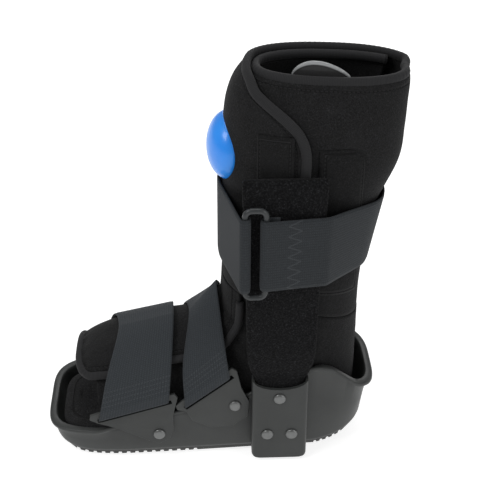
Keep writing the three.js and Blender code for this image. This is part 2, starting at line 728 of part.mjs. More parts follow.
function bracketGeometry(side) {
  const half = BRACKET_WIDE / 2;
  const back = WAIST_HALF + GAP;
  const front = back + BRACKET_DEEP;
  const bend = 3;
  const plan = new THREE.Shape();
  plan.moveTo(-half, back);
  plan.lineTo(-half, front - bend);
  plan.absarc(-half + bend, front - bend, bend, Math.PI, Math.PI / 2, true);
  plan.lineTo(half - bend, front);
  plan.absarc(half - bend, front - bend, bend, Math.PI / 2, 0, true);
  plan.lineTo(half, back);
  plan.lineTo(half - BRACKET_FLANGE, back);
  plan.lineTo(half - BRACKET_FLANGE, front - BRACKET_PLATE);
  plan.lineTo(-half + BRACKET_FLANGE, front - BRACKET_PLATE);
  plan.lineTo(-half + BRACKET_FLANGE, back);
  plan.closePath();
  const channel = new THREE.ExtrudeGeometry(plan, { depth: BRACKET_TOP, bevelEnabled: false, curveSegments: 3 });

  const corner = 8;
  const dip = 10;
  const face = new THREE.Shape();
  face.moveTo(-half + corner, BRACKET_FOOT);
  face.lineTo(half - corner, BRACKET_FOOT);
  face.quadraticCurveTo(half + 1, BRACKET_FOOT, half + 1, BRACKET_FOOT + corner);
  face.lineTo(half + 1, BRACKET_TOP);
  face.lineTo(half - 1, BRACKET_TOP);
  face.bezierCurveTo(half - 6, BRACKET_TOP - dip, -half + 6, BRACKET_TOP - dip, -half + 1, BRACKET_TOP);
  face.lineTo(-half - 1, BRACKET_TOP);
  face.lineTo(-half - 1, BRACKET_FOOT + corner);
  face.quadraticCurveTo(-half - 1, BRACKET_FOOT, -half + corner, BRACKET_FOOT);
  const outline = new THREE.ExtrudeGeometry(face, { depth: 4 * front, bevelEnabled: false, curveSegments: 8 });
  outline.translate(0, 0, -2 * front);
  outline.rotateX(Math.PI / 2);
  const geometry = geometryFrom(manifoldOf(channel).intersect(manifoldOf(outline)));
  if (side > 0) return geometry;
  const position = geometry.getAttribute("position");
  for (let i = 0; i < position.count; i++) position.setY(i, -position.getY(i));
  return turnedFaces(geometry);
}

function rivetGeometry() {
  const profile = [
    [0.01, 0],
    [1, 0],
    [1, 0.3],
    [0.86, 0.72],
    [0.5, 0.96],
    [0.01, 1],
  ].map(([wide, high]) => new THREE.Vector2(wide < 0.1 ? 0 : wide * RIVET, high * RIVET_HIGH));
  return new THREE.LatheGeometry(profile, 8);
}

// A rivet's head on a side face at x, z, standing out from the face at y.
function addRivet(name, x, y, z, side) {
  const rivet = addMesh(name, rivetGeometry(), materials.steel);
  rivet.position.set(x, side * (y + GAP), z);
  rivet.rotation.x = side < 0 ? Math.PI : 0;
}

const BRACKET_RIVETS = [
  { name: "top", x: -0.01, z: 0.8 },
  { name: "front", x: -0.22, z: 0.35 },
  { name: "back", x: 0.22, z: 0.35 },
];

// Wings: plates on the shell's side with a slot that carries a strap

const WINGS = {
  front: {
    low: { front: [-0.785, 43.5], rear: [-0.475, 59] },
    lean: { front: [0.3, 1], rear: [0.1, 1] },
    slack: 2.3,
    rivet: [-0.525, 26.5],
    outline: [[-0.765, 38], [-0.7, 33.5], [-0.575, 20.5], [-0.525, 16.5], [-0.48, 21], [-0.46, 30], [-0.462, 44]],
  },
  instep: {
    low: { front: [-0.41, 52.5], rear: [-0.212, 80] },
    lean: { front: [0.07, 1], rear: [-0.15, 1] },
    slack: 1.3,
    rivet: [-0.192, 50.8],
    outline: [[-0.405, 47.5], [-0.38, 38], [-0.3, 30], [-0.2, 31], [-0.135, 40], [-0.13, 54], [-0.165, 68]],
  },
};
const LUG = 5.2; // how far a wing reaches past its slot's ends
const WING_BAR = 5; // from the slot to the wing's top edge
const SLOT = 3.4;
const WING_GAP = 0.5;

const wingInner = (x) => sideHalf(x) + WING_GAP;

function wingGeometry(wing, side) {
  const at = ([place, z]) => new THREE.Vector2(place * TOE_REACH, z);
  const [front, rear] = [at(wing.low.front), at(wing.low.rear)];
  const run = rear.clone().sub(front).normalize();
  const up = new THREE.Vector2(-run.y, run.x);
  const place = (base, alongSlot, above) =>
    base.clone().addScaledVector(run, alongSlot).addScaledVector(up, above);
  const topLeft = place(front, -LUG, WING_BAR);
  const topRight = place(rear, LUG, WING_BAR);
  const outline = [topRight, place(rear, -1, WING_BAR + 0.6), place(front, 1, WING_BAR + 0.6), topLeft];
  outline.push(place(front, -LUG - 1.6, 1), ...wing.outline.map(at), place(rear, LUG + 1.4, 0.5));
  const shape = new THREE.Shape(outline);
  const slot = [place(front, -1, 0), place(rear, 1, 0), place(rear, 1, -SLOT), place(front, -1, -SLOT)];
  shape.holes.push(new THREE.Path(slot));
  const extruded = new THREE.ExtrudeGeometry(shape, { depth: WING_THICK, bevelEnabled: false });
  const plate = geometryFrom(manifoldOf(extruded));
  const position = plate.getAttribute("position");
  for (let i = 0; i < position.count; i++) {
    const [x, z, depth] = [position.getX(i), position.getY(i), position.getZ(i)];
    position.setXYZ(i, x, side * (wingInner(x) + depth), z);
  }
  return side > 0 ? turnedFaces(plate) : plate;
}

// Straps

function hullOf(points) {
  const sorted = [...points].sort((a, b) => a[0] - b[0] || a[1] - b[1]);
  const turn = (o, a, b) => (a[0] - o[0]) * (b[1] - o[1]) - (a[1] - o[1]) * (b[0] - o[0]);
  const half = (list) => {
    const chain = [];
    for (const p of list) {
      while (chain.length > 1 && turn(chain[chain.length - 2], chain[chain.length - 1], p) <= 0) chain.pop();
      chain.push(p);
    }
    chain.pop();
    return chain;
  };
  return [...half(sorted), ...half([...sorted].reverse())];
}

// Places count + 1 points at even distances along an open run of points.
function spaced(path, count) {
  const lengths = [0];
  for (let i = 1; i < path.length; i++) {
    lengths.push(lengths[i - 1] + Math.hypot(path[i][0] - path[i - 1][0], path[i][1] - path[i - 1][1]));
  }
  const total = lengths[lengths.length - 1];
  return steps(count).map((share) => {
    const target = share * total;
    let i = 1;
    while (i < path.length - 1 && lengths[i] < target) i++;
    const part = (target - lengths[i - 1]) / (lengths[i] - lengths[i - 1] || 1);
    return [lerp(path[i - 1][0], path[i][0], part), lerp(path[i - 1][1], path[i][1], part)];
  });
}

// Moves each point of an open run sideways by offset.
function shifted(path, offset) {
  return path.map(([x, y], i) => {
    const before = path[Math.max(0, i - 1)];
    const after = path[Math.min(path.length - 1, i + 1)];
    const length = Math.hypot(after[0] - before[0], after[1] - before[1]);
    return [x + ((after[1] - before[1]) / length) * offset, y - ((after[0] - before[0]) / length) * offset];
  });
}

// A band between two edge paths; place turns a path's two numbers into a point of that edge.
function bandGeometry(edges) {
  const faces = edges.map(({ path, place }) => ({
    outer: shifted(path, WEB / 2).map(place),
    inner: shifted(path, -WEB / 2).map(place),
  }));
  const [first, second] = faces;
  return loft(first.outer.map((_, i) => [first.outer[i], second.outer[i], second.inner[i], first.inner[i]]));
}

// A strap over the foot, folded through the slot of the wing at each side.
function footStrapGeometry(wing, wide) {
  const at = ([place, z]) => new THREE.Vector2(place * TOE_REACH, z);
  const slotLine = at(wing.low.rear).sub(at(wing.low.front));
  const trim = Math.max(0.7, (slotLine.length() - wide) / 2);
  const run = slotLine.clone().normalize();
  const edges = ["front", "rear"].map((name) => {
    const inwards = name === "front" ? trim : -trim;
    const low = at(wing.low[name]).addScaledVector(run, inwards);
    const lean = new THREE.Vector2(...wing.lean[name]).normalize();
    const offPlane = (p) => (p.x - low.x) * lean.y - (p.z - low.y) * lean.x;
    const over = steps(24).map((share) => {
      const round = lerp(-0.21, 0.21, share);
      const lift = WEB / 2 + (round > 0 ? OUTER_BIND + BIND_THICK + 0.4 : LAYER) + wing.slack;
      const row = findZero((r) => offPlane(linerOffset(r, round, lift)), 8.2, TOE_ROW - 0.05);
      const p = linerOffset(row, round, lift);
      return [p.y, (p.x - low.x) * lean.x + (p.z - low.y) * lean.y];
    }).filter(([, m]) => m > WING_BAR);
    const face = wingInner(low.x) + WING_THICK;
    const outside = face + 0.4 + WEB / 2;
    const inside = wingInner(low.x) - 0.4 - WEB / 2;
    const clear = WING_BAR + 3.5;
    const chain = hullOf([...over, [-outside, 0.5], [outside, 0.5], [-outside, clear], [outside, clear]]);
    const start = chain.findIndex(([y, m]) => y < 0 && Math.abs(m - 0.5) < 1e-6);
    const turned = [...chain.slice(start), ...chain.slice(0, start)];
    const body = turned[1][0] > 0 && Math.abs(turned[1][1] - 0.5) < 1e-6
      ? [turned[0], ...turned.slice(1).reverse()]
      : turned;
    const upper = spaced(body, 30);
    const under = -0.4 - WEB / 2;
    const middle = (outside + inside) / 2;
    const fold = (side) => [[side * inside, WING_BAR + 7], [side * inside, 1], [side * (inside + 0.6), under * 0.75],
      [side * middle, under * 1.02], [side * (outside - 0.6), under * 0.75]];
    const path = [...fold(-1), ...upper, ...fold(1).reverse()];
    return { path, place: ([y, m]) => point(low.x + m * lean.x, y, low.y + m * lean.y) };
  });
  return bandGeometry(edges);
}

// Calf strap: from the ring's rear bar round the back, over both uprights and back to its front bar
const BAR_Y = COVER_FACE + 0.5 + WEB + 0.4 + RING_BAR;
const BAR_LOOP = RING_BAR + 0.4 + WEB / 2;
const FOLD_POINTS = 5; // path points of the fold round each bar
const REAR_TAIL = 10; // how far the strap's folded end reaches past the rear bar
const BARS = { front: RING_X - RING_WIDE / 2, rear: RING_X + RING_WIDE / 2 };
// Heights of the strap's edges above its middle, as shares of its width, along its way round.
const CALF_EDGES = [
  { way: 0, top: 0.5, low: -0.5 },
  { way: 0.12, top: 0.48, low: -0.5 },
  { way: 0.32, top: 0.36, low: -0.62 },
  { way: 0.5, top: 0.42, low: -0.55 },
  { way: 0.72, top: 0.5, low: -0.54 },
  { way: 0.86, top: 0.56, low: -0.55 },
  { way: 1, top: 0.52, low: -0.53 },
];

// The way along the strap at which it passes a place round the leg.
function wayAt(round) {
  if (round > 0.25) return lerp(0.05, 0.32, (round - 0.25) / 0.25);
  return round < 0 ? lerp(0.9, 0.32, -round / 0.5) : lerp(0.9, 1, round / 0.25);
}

const calfHeight = (column, way) => CALF_MIDDLE + CALF_STRAP * lookUp(CALF_EDGES, "way", column, way);

function calfPath(column) {
  const onPatch = GAP + PATCH + 0.6 + WEB / 2;
  const onFlap = (round) => (round < 0 ? legLift(round) : LAYER) + 1.8 + WEB / 2;
  const leg = steps(60).map((share) => {
    const round = lerp(-0.5, 0.5, share);
    const lift = round > 0.25 ? onPatch : Math.max(onPatch, onFlap(round));
    const p = linerOffset(rowAtHeight(round, calfHeight(column, wayAt(round))), round, lift);
    return [p.x, p.y];
  });
  const wide = COVER_HALF + GAP;
  const face = COVER_FACE + 0.5 + WEB / 2;
  const covers = [[-wide, -face], [wide, -face], [-wide, face], [wide, face]];
  const aroundBar = (bar, degrees) => {
    const angle = THREE.MathUtils.degToRad(degrees);
    return [bar + BAR_LOOP * Math.cos(angle), -BAR_Y + BAR_LOOP * Math.sin(angle)];
  };
  const rear = aroundBar(BARS.rear, 270);
  const front = aroundBar(BARS.front, 180);
  const chain = hullOf([...leg, ...covers, rear, front]);
  const start = chain.indexOf(rear);
  const turned = [...chain.slice(start), ...chain.slice(0, start)];
  const around = spaced(turned.slice(0, turned.indexOf(front) + 1), 46);
  const tail = [BARS.rear + REAR_TAIL, aroundBar(BARS.rear, 90)[1]];
  const rearFold = [tail, ...[90, 135, 180, 225].map((degrees) => aroundBar(BARS.rear, degrees))];
  const frontFold = [225, 270, 315, 360, 405, 440].map((degrees) => aroundBar(BARS.front, degrees));
  return [...rearFold, ...around, ...frontFold];
}

function calfStrapGeometry() {
  const [top, low] = ["top", "low"].map((column) => {
    const path = calfPath(column);
    const lastFold = path.length - 1 - FOLD_POINTS;
    const height = (i) => calfHeight(column, clamp01((i - FOLD_POINTS) / (lastFold - FOLD_POINTS)));
    const side = (offset) => shifted(path, offset).map(([x, y], i) => point(x, y, height(i)));
    return { outer: side(WEB / 2), inner: side(-WEB / 2) };
  });
  return loft(top.outer.map((_, i) => [top.outer[i], low.outer[i], low.inner[i], top.inner[i]]));
}

// The ring that joins the calf strap's two ends
function ringGeometry() {
  const halfWide = RING_WIDE / 2;
  const corner = 5;
  const halfHigh = 0.54 * CALF_STRAP + corner;
  const corners = [[1, 1], [-1, 1], [-1, -1], [1, -1]];
  const rings = [];
  corners.forEach(([sx, sz], quarter) => {
    for (let i = 0; i <= 3; i++) {
      const angle = (quarter + i / 3) * (Math.PI / 2);
      const [cos, sin] = [Math.cos(angle), Math.sin(angle)];
      const centre = [sx * (halfWide - corner), sz * (halfHigh - corner)];
      const ring = [];
      for (let k = 0; k < 8; k++) {
        const bar = ((k + 0.5) / 8) * 2 * Math.PI;
        const reach = corner + RING_BAR * Math.cos(bar);
        ring.push(point(
          RING_X + centre[0] + reach * cos,
          -BAR_Y + RING_BAR * Math.sin(bar),
          CALF_MIDDLE + centre[1] + reach * sin,
        ));
      }
      rings.push(ring);
    }
  });
  return loft(rings, true);
}

addMesh("shell", shellGeometry(), materials.plastic);
addMesh("outsole", outsoleGeometry(), materials.rubber);
addMesh("insole", insoleGeometry(), materials.foam);
legWrap();
footWrap();
addMesh("pump_bulb", bulbGeometry(), materials.bulb);
addMesh("air_bladder", bladderGeometry(), materials.vinyl);
addMesh("side_patch", patchGeometry(SIDE_PATCH, 2 * GAP, 6, 8), materials.loop);
addMesh("flap_panel", patchGeometry(FLAP_PANEL, LAYER + 2 * GAP, 5, 3), materials.loop);

for (const [label, side] of [["left", -1], ["right", 1]]) {
  addMesh("upright_cover_" + label, coverGeometry(side), materials.loop);
  addMesh("bracket_" + label, bracketGeometry(side), materials.plastic);
  const face = WAIST_HALF + GAP + BRACKET_DEEP;
  for (const { name, x, z } of BRACKET_RIVETS) {
    addRivet("bracket_rivet_" + name + "_" + label, x * BRACKET_WIDE, face, z * BRACKET_TOP, side);
  }
  for (const [wingName, wing] of Object.entries(WINGS)) {
    addMesh(wingName + "_wing_" + label, wingGeometry(wing, side), materials.plastic);
    const [place, z] = wing.rivet;
    const x = place * TOE_REACH;
    addRivet(wingName + "_wing_rivet_" + label, x, wingInner(x) + WING_THICK, z, side);
  }
}
addMesh("front_strap", footStrapGeometry(WINGS.front, FRONT_STRAP), materials.webbing);
addMesh("instep_strap", footStrapGeometry(WINGS.instep, INSTEP_STRAP), materials.webbing);
addMesh("calf_strap", calfStrapGeometry(), materials.webbing);
addMesh("ring", ringGeometry(), materials.plastic);

export default boot;
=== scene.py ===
import math

import bmesh
import bpy
import numpy as np
from mathutils import Matrix, Vector, noise


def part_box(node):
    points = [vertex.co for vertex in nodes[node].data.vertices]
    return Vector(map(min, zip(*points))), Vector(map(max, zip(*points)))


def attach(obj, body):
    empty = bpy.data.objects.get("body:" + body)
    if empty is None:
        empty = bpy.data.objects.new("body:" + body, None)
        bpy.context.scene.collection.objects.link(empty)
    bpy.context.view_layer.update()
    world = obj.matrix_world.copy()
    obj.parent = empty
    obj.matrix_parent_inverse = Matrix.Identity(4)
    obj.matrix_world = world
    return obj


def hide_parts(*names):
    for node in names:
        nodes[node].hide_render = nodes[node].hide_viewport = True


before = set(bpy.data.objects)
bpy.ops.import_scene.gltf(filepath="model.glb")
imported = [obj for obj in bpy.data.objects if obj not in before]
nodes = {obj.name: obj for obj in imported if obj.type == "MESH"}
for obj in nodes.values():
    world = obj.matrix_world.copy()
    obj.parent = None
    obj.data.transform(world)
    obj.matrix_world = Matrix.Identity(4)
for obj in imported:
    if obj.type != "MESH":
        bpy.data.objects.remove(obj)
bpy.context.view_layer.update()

mm = 0.001

# Sizes of the boot, in millimetres
toeReach = 180.5
heelReach = 71
ballHalf = 51
waistHalf = 46.3
shellWall = 3
lip = 3
heelFlare = 4
toeRim = 30
heelPeak = 83.5
treadTop = 5.0
floorTop = 11.0
padTop = 26.9
bootHeight = 322
legRise = bootHeight - padTop
linerHalf = 42.6
foam = 5
bindThick = 3.2
bindWide = 4.4
patchThick = 1
gap = 0.3
layer = foam + 2 * gap
coverInner = 50.6
coverThick = 7.2
coverHalf = 30.5
coverHeight = 252
web = 1.8
calfStrapWide = 57.5
bulbPlace = 0.77
bulbMiddle = padTop + bulbPlace * legRise
bulbUp = 25.6
calfClear = 2.7
calfMiddle = bulbMiddle - bulbUp - calfClear - calfStrapWide / 2
ringBar = 2.2
ringWide = 15
ringX = -21
webClear = 0.4
strapClear = 0.5
barY = coverInner + coverThick + strapClear + web + webClear + ringBar
barLoop = ringBar + webClear + web / 2


# Small helpers for curves and roots, all working on arrays
def lerp(a, b, t):
    return a + (b - a) * t


def bent(value, power):
    return np.sign(value) * np.abs(value) ** power


def smooth(value, low, high):
    t = np.clip((value - low) / (high - low), 0, 1)
    return t * t * (3 - 2 * t)


def lookUp(rows, value):
    table = np.array(rows, float)
    return np.interp(value, table[:, 0], table[:, 1])


def readTable(column, at):
    values = np.array(column, float)
    at = np.asarray(at, float)
    last = len(values) - 1
    row = np.clip(np.floor(at).astype(int), 0, last - 1)
    part = at - row
    pick = lambda i: values[np.clip(i, 0, last)]
    before, start, end, after = pick(row - 1), pick(row), pick(row + 1), pick(row + 2)
    square = part * part
    cube = square * part
    return (
        (2 * cube - 3 * square + 1) * start
        + (cube - 2 * square + part) * (end - before) / 2
        + (3 * square - 2 * cube) * end
        + (cube - square) * (after - start) / 2
    )


def findZero(value, low, high):
    low, high = np.asarray(low, float), np.asarray(high, float)
    low, high = np.broadcast_arrays(low, high)
    low, high = low.copy(), high.copy()
    sign = np.sign(value(low))
    sign = np.where(sign == 0, 1, sign)
    for _ in range(30):
        middle = (low + high) / 2
        ahead = value(middle) * sign > 0
        low = np.where(ahead, middle, low)
        high = np.where(ahead, high, middle)
    return (low + high) / 2


def ripple(points, scale, amount, seed):
    out = np.empty(len(points))
    for i, p in enumerate(points):
        out[i] = noise.fractal(Vector(p) * scale + Vector((seed, seed * 1.7, 0)), 0.8, 2.1, 3)
    return out * amount


# Mesh making
def makeObject(name, verts, faces, uv=None, body="root", sharp=None):
    mesh = bpy.data.meshes.new(name)
    mesh.from_pydata([tuple(v) for v in np.asarray(verts) * mm], [], faces)
    mesh.update()
    if uv is not None:
        layerUv = mesh.uv_layers.new(name="UVMap")
        loops = np.empty(len(mesh.loops), int)
        mesh.loops.foreach_get("vertex_index", loops)
        layerUv.data.foreach_set("uv", (np.asarray(uv)[loops] * mm).ravel())
    piece = bpy.data.objects.new(name, mesh)
    bpy.context.scene.collection.objects.link(piece)
    for polygon in mesh.polygons:
        polygon.use_smooth = True
    if sharp:
        mesh.set_sharp_from_angle(angle=math.radians(sharp))
    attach(piece, body)
    return piece


def loftFaces(rings, count, closed=False):
    faces = []
    last = rings if closed else rings - 1
    for row in range(last):
        low, high = row * count, ((row + 1) % rings) * count
        for i in range(count):
            n = (i + 1) % count
            faces.append((low + i, low + n, high + n, high + i))
    if not closed:
        end = (rings - 1) * count
        for i in range(count // 2 - 1):
            a, b, c, d = i, i + 1, count - 2 - i, count - 1 - i
            faces.append((d, c, b, a))
            faces.append((end + a, end + b, end + c, end + d))
    return faces


def orient(piece):
    mesh = bmesh.new()
    mesh.from_mesh(piece.data)
    bmesh.ops.recalc_face_normals(mesh, faces=mesh.faces)
    mesh.to_mesh(piece.data)
    mesh.free()
    return piece


def loft(name, rings, uv=None, closed=False, sharp=None):
    rings = np.asarray(rings, float)
    flatUv = None if uv is None else np.asarray(uv).reshape(-1, 2)
    faces = loftFaces(len(rings), rings.shape[1], closed)
    return orient(makeObject(name, rings.reshape(-1, 3), faces, flatUv, sharp=sharp))


def smoothPath(points, rounds):
    points = np.asarray(points, float)
    for _ in range(rounds):
        low = lerp(points[:-1], points[1:], 0.25)
        high = lerp(points[:-1], points[1:], 0.75)
        between = np.stack([low, high], 1).reshape(-1, points.shape[1])
        points = np.vstack([points[:1], between, points[-1:]])
    return points


# Shader building
class Val:
    def __init__(self, shade, socket):
        self.shade = shade
        self.socket = socket

    def op(self, kind, other=None, swap=False, clamp=False):
        made = self.shade.tree.nodes.new("ShaderNodeMath")
        made.operation = kind
        made.use_clamp = clamp
        for socket, part in zip(made.inputs, (other, self) if swap else (self, other)):
            if part is not None:
                self.shade.feed(socket, part)
        return Val(self.shade, made.outputs[0])

    def __add__(self, other):
        return self.op("ADD", other)

    def __sub__(self, other):
        return self.op("SUBTRACT", other)

    def __rsub__(self, other):
        return self.op("SUBTRACT", other, swap=True)

    def __mul__(self, other):
        return self.op("MULTIPLY", other)

    def __truediv__(self, other):
        return self.op("DIVIDE", other)

    def __gt__(self, other):
        return self.op("GREATER_THAN", other)

    def __lt__(self, other):
        return self.op("LESS_THAN", other)

    def sin(self):
        return self.op("SINE")

    def absolute(self):
        return self.op("ABSOLUTE")

    def fract(self):
        return self.op("FRACT")

    def clamped(self):
        return self.op("ADD", 0.0, clamp=True)


class Shade:
    def __init__(self, name, roughness, sheen=0.0, coat=0.0, metallic=0.0, specular=0.5):
        self.material = bpy.data.materials.new(name)
        self.material.use_nodes = True
        self.tree = self.material.node_tree
        self.bsdf = self.tree.nodes["Principled BSDF"]
        self.bsdf.inputs["Roughness"].default_value = roughness
        self.bsdf.inputs["Sheen Weight"].default_value = sheen
        self.bsdf.inputs["Coat Weight"].default_value = coat
        self.bsdf.inputs["Metallic"].default_value = metallic
        self.bsdf.inputs["Specular IOR Level"].default_value = specular
        self.where = self.node("ShaderNodeTexCoord", {})

    def feed(self, socket, value):
        if isinstance(value, Val):
            self.tree.links.new(value.socket, socket)
        else:
            socket.default_value = value

    def node(self, kind, settings, **sockets):
        made = self.tree.nodes.new(kind)
        for key, value in settings.items():
            setattr(made, key, value)
        for key, value in sockets.items():
            self.feed(made.inputs[key.replace("_", " ")], value)
        return made

    def out(self, node, name):
        return Val(self, node.outputs[name])

    def noise(self, scale, detail=3.0, rough=0.55, where=None):
        made = self.node("ShaderNodeTexNoise", {}, Scale=scale, Detail=detail, Roughness=rough)
        self.tree.links.new((where or self.out(self.where, "Object")).socket, made.inputs["Vector"])
        return self.out(made, "Fac")

    def cells(self, scale, where=None):
        made = self.node("ShaderNodeTexVoronoi", {}, Scale=scale)
        self.tree.links.new((where or self.out(self.where, "Object")).socket, made.inputs["Vector"])
        return self.out(made, "Distance")

    def stretched(self, x, y, z):
        made = self.node("ShaderNodeVectorMath", {"operation": "MULTIPLY"})
        self.tree.links.new(self.where.outputs["Object"], made.inputs[0])
        made.inputs[1].default_value = (x, y, z)
        return self.out(made, "Vector")

    def uv(self):
        parts = self.node("ShaderNodeSeparateXYZ", {})
        self.tree.links.new(self.where.outputs["UV"], parts.inputs[0])
        return self.out(parts, "X"), self.out(parts, "Y")

    def mix(self, factor, low, high):
        made = self.node("ShaderNodeMix", {"data_type": "RGBA"})
        self.feed(made.inputs[0], factor)
        for i, colour in ((6, low), (7, high)):
            if isinstance(colour, Val):
                self.feed(made.inputs[i], colour)
            else:
                made.inputs[i].default_value = (*colour, 1)
        return Val(self, made.outputs[2])

    def remap(self, value, low, high, toLow=0.0, toHigh=1.0):
        made = self.node("ShaderNodeMapRange", {})
        self.feed(made.inputs[0], value)
        for i, number in enumerate((low, high, toLow, toHigh)):
            made.inputs[i + 1].default_value = number
        return self.out(made, "Result")

    def finish(self, colour, roughness=None, height=None, strength=0.5, distance=0.0005):
        self.feed(self.bsdf.inputs["Base Color"], colour)
        if roughness is not None:
            self.feed(self.bsdf.inputs["Roughness"], roughness)
        if height is not None:
            bump = self.node("ShaderNodeBump", {}, Strength=strength, Distance=distance)
            self.feed(bump.inputs["Height"], height)
            self.tree.links.new(bump.outputs["Normal"], self.bsdf.inputs["Normal"])
        return self.material


stitch = {"pitch": 0.0031, "long": 0.62, "thread": 0.00035, "edge": 0.0002, "groove": 0.0011}


# The liner's foam; u is the distance from the flap's free edge and v the distance from its top
def foamMaterial(name="liner_foam", sewnSide=False, sewnTop=False, sewnAt=0.0066, light=1.0):
    s = Shade(name, 0.95, sheen=0.03, specular=0.15)
    grain = s.noise(1050, 3, 0.7)
    patch = s.noise(60, 4)
    fleck = s.remap(s.noise(900, 2), 0.58, 0.72)
    low, high, soft, bright = (tuple(light * c for c in tone) for tone in (
        (0.0035, 0.0035, 0.0036), (0.0145, 0.0145, 0.015), (0.0165, 0.0165, 0.017), (0.042, 0.043, 0.045)))
    base = s.mix(s.remap(grain, 0.36, 0.66), low, high)
    worn = s.mix(s.remap(patch, 0.45, 0.75, 0, 0.5), base, soft)
    colour = s.mix(fleck * 0.35, worn, bright)
    height = grain + s.noise(420, 3) * 1.2
    u, v = s.uv()
    for wanted, off, run in ((sewnSide, u, v), (sewnTop, v, u)):
        if not wanted:
            continue
        line = (off - sewnAt).absolute()
        groove = 1.0 - s.remap(line, stitch["edge"], stitch["groove"])
        thread = (line < stitch["thread"]) * ((run / stitch["pitch"]).fract() < stitch["long"])
        # The foam along the stitch groove is painted darker: painted shade in the recess, with the bump below
        # as its dent. The thread is its own lighter colour.
        grooveShaded = s.mix(groove * 0.75, colour, (0.002, 0.002, 0.002))
        colour = s.mix(thread * 0.3, grooveShaded, (0.045, 0.045, 0.047))
        height = height - groove * 3.6 + thread * 1.2
    return s.finish(colour, s.remap(patch, 0.3, 0.7, 0.88, 1.0), height, 0.55, 0.0005)


def tapeMaterial():
    s = Shade("binding_tape", 0.85, sheen=0.04, specular=0.22)
    u, v = s.uv()
    rib = (u * (2 * math.pi / 0.0011)).sin() * 0.5 + 0.5
    grain = s.noise(1800, 2)
    shade = s.mix(grain, (0.0085, 0.0085, 0.009), (0.0185, 0.0185, 0.0195))
    colour = s.mix(rib * 0.35, shade, (0.031, 0.031, 0.033))
    return s.finish(colour, s.remap(grain, 0.3, 0.7, 0.75, 0.95), rib * 0.6 + grain, 0.45, 0.0003)


def loopMaterial(name="loop_fabric", flecks=0.32):
    s = Shade(name, 0.97, sheen=0.02, specular=0.12)
    curls = s.cells(700)
    grain = s.noise(1100, 3)
    fleck = s.remap(s.noise(620, 3, 0.7), 0.57, 0.68)
    base = s.mix(s.remap(curls, 0.1, 0.6), (0.0115, 0.0115, 0.0122), (0.0028, 0.0028, 0.0032))
    colour = s.mix(fleck * flecks, base, (0.06, 0.062, 0.067))
    return s.finish(colour, s.remap(grain, 0.3, 0.7, 0.9, 1.0), curls * -1.0 + grain, 0.8, 0.0007)


webbing = {"rib": 0.0021, "pick": 0.0015, "row": 0.0038, "dash": 0.0024, "zigzag": 0.0085}


# u runs along the webbing and v across it; a band of stitches is "rows" or a "zigzag"
def webbingMaterial(name, bands, low, high):
    s = Shade(name, 0.85, sheen=0.03, specular=0.18)
    u, v = s.uv()
    ribs = (v * (2 * math.pi / webbing["rib"])).sin()
    picks = (u * (2 * math.pi / webbing["pick"])).sin()
    weave = ribs * 0.35 + picks * 0.25 + (ribs * picks) * 0.4
    grain = s.noise(1500, 3)
    tone = s.remap(weave, -1, 1)
    base = s.mix(tone, low, high)
    colour = s.mix(s.remap(grain, 0.4, 0.75) * 0.4, base, (0.058, 0.064, 0.07))
    stitches = None
    for start, end, kind in bands:
        inside = (u > start) * (u < end)
        if kind == "rows":
            rows = (((u - start) / webbing["row"]).fract() - 0.5).absolute() < 0.14
            mark = inside * rows * (((v / webbing["dash"]).fract() - 0.5).absolute() < 0.28)
        else:
            swing = ((v / webbing["zigzag"]).fract() - 0.5).absolute() * 2.0
            mark = inside * ((swing - (u - start) / (end - start)).absolute() < 0.13)
        stitches = mark if stitches is None else stitches + mark
    height = weave * 0.6 + grain
    if stitches is not None:
        colour = s.mix(stitches.clamped() * 0.24, colour, (0.085, 0.09, 0.098))
        height = height + stitches * 1.0
    return s.finish(colour, s.remap(grain, 0.3, 0.7, 0.72, 0.92), height, 0.6, 0.0004)


def plasticMaterial(name, low, high, rough=(0.36, 0.5)):
    s = Shade(name, 0.45, coat=0.02, specular=0.27)
    fine = s.noise(900, 4)
    broad = s.noise(26, 5, 0.62)
    scuff = s.remap(s.noise(14, 8, 0.7, s.stretched(1, 1, 5)), 0.6, 0.72)
    base = s.mix(s.remap(broad, 0.3, 0.7), low, high)
    colour = s.mix(scuff * 0.12, base, (0.1, 0.104, 0.104))
    roughness = s.remap(broad, 0.3, 0.7, rough[0], rough[1]) + scuff * 0.12
    return s.finish(colour, roughness, fine + broad * 0.4, 0.16, 0.0003)


def rubberMaterial():
    s = Shade("outsole_rubber", 0.75)
    grit = s.noise(1400, 3)
    dust = s.remap(s.noise(45, 6, 0.6), 0.42, 0.75)
    base = s.mix(grit, (0.034, 0.035, 0.034), (0.06, 0.061, 0.06))
    colour = s.mix(dust * 0.35, base, (0.11, 0.112, 0.11))
    return s.finish(colour, s.remap(grit, 0.3, 0.7, 0.62, 0.85), grit, 0.3, 0.0004)


def rivetMaterial():
    s = Shade("rivet_metal", 0.38, metallic=0.75)
    grain = s.noise(1200, 3)
    cloud = s.noise(160, 3)
    colour = s.mix(cloud, (0.115, 0.118, 0.117), (0.195, 0.199, 0.197))
    return s.finish(colour, s.remap(cloud, 0.3, 0.7, 0.3, 0.5), grain, 0.12, 0.0002)


def bulbMaterial():
    s = Shade("pump_blue", 0.35, coat=0.25)
    cloud = s.noise(55, 3)
    grain = s.noise(1100, 2)
    colour = s.mix(cloud, (0.006, 0.18, 0.7), (0.014, 0.29, 0.92))
    return s.finish(colour, s.remap(cloud, 0.3, 0.7, 0.28, 0.42), grain, 0.08, 0.0002)


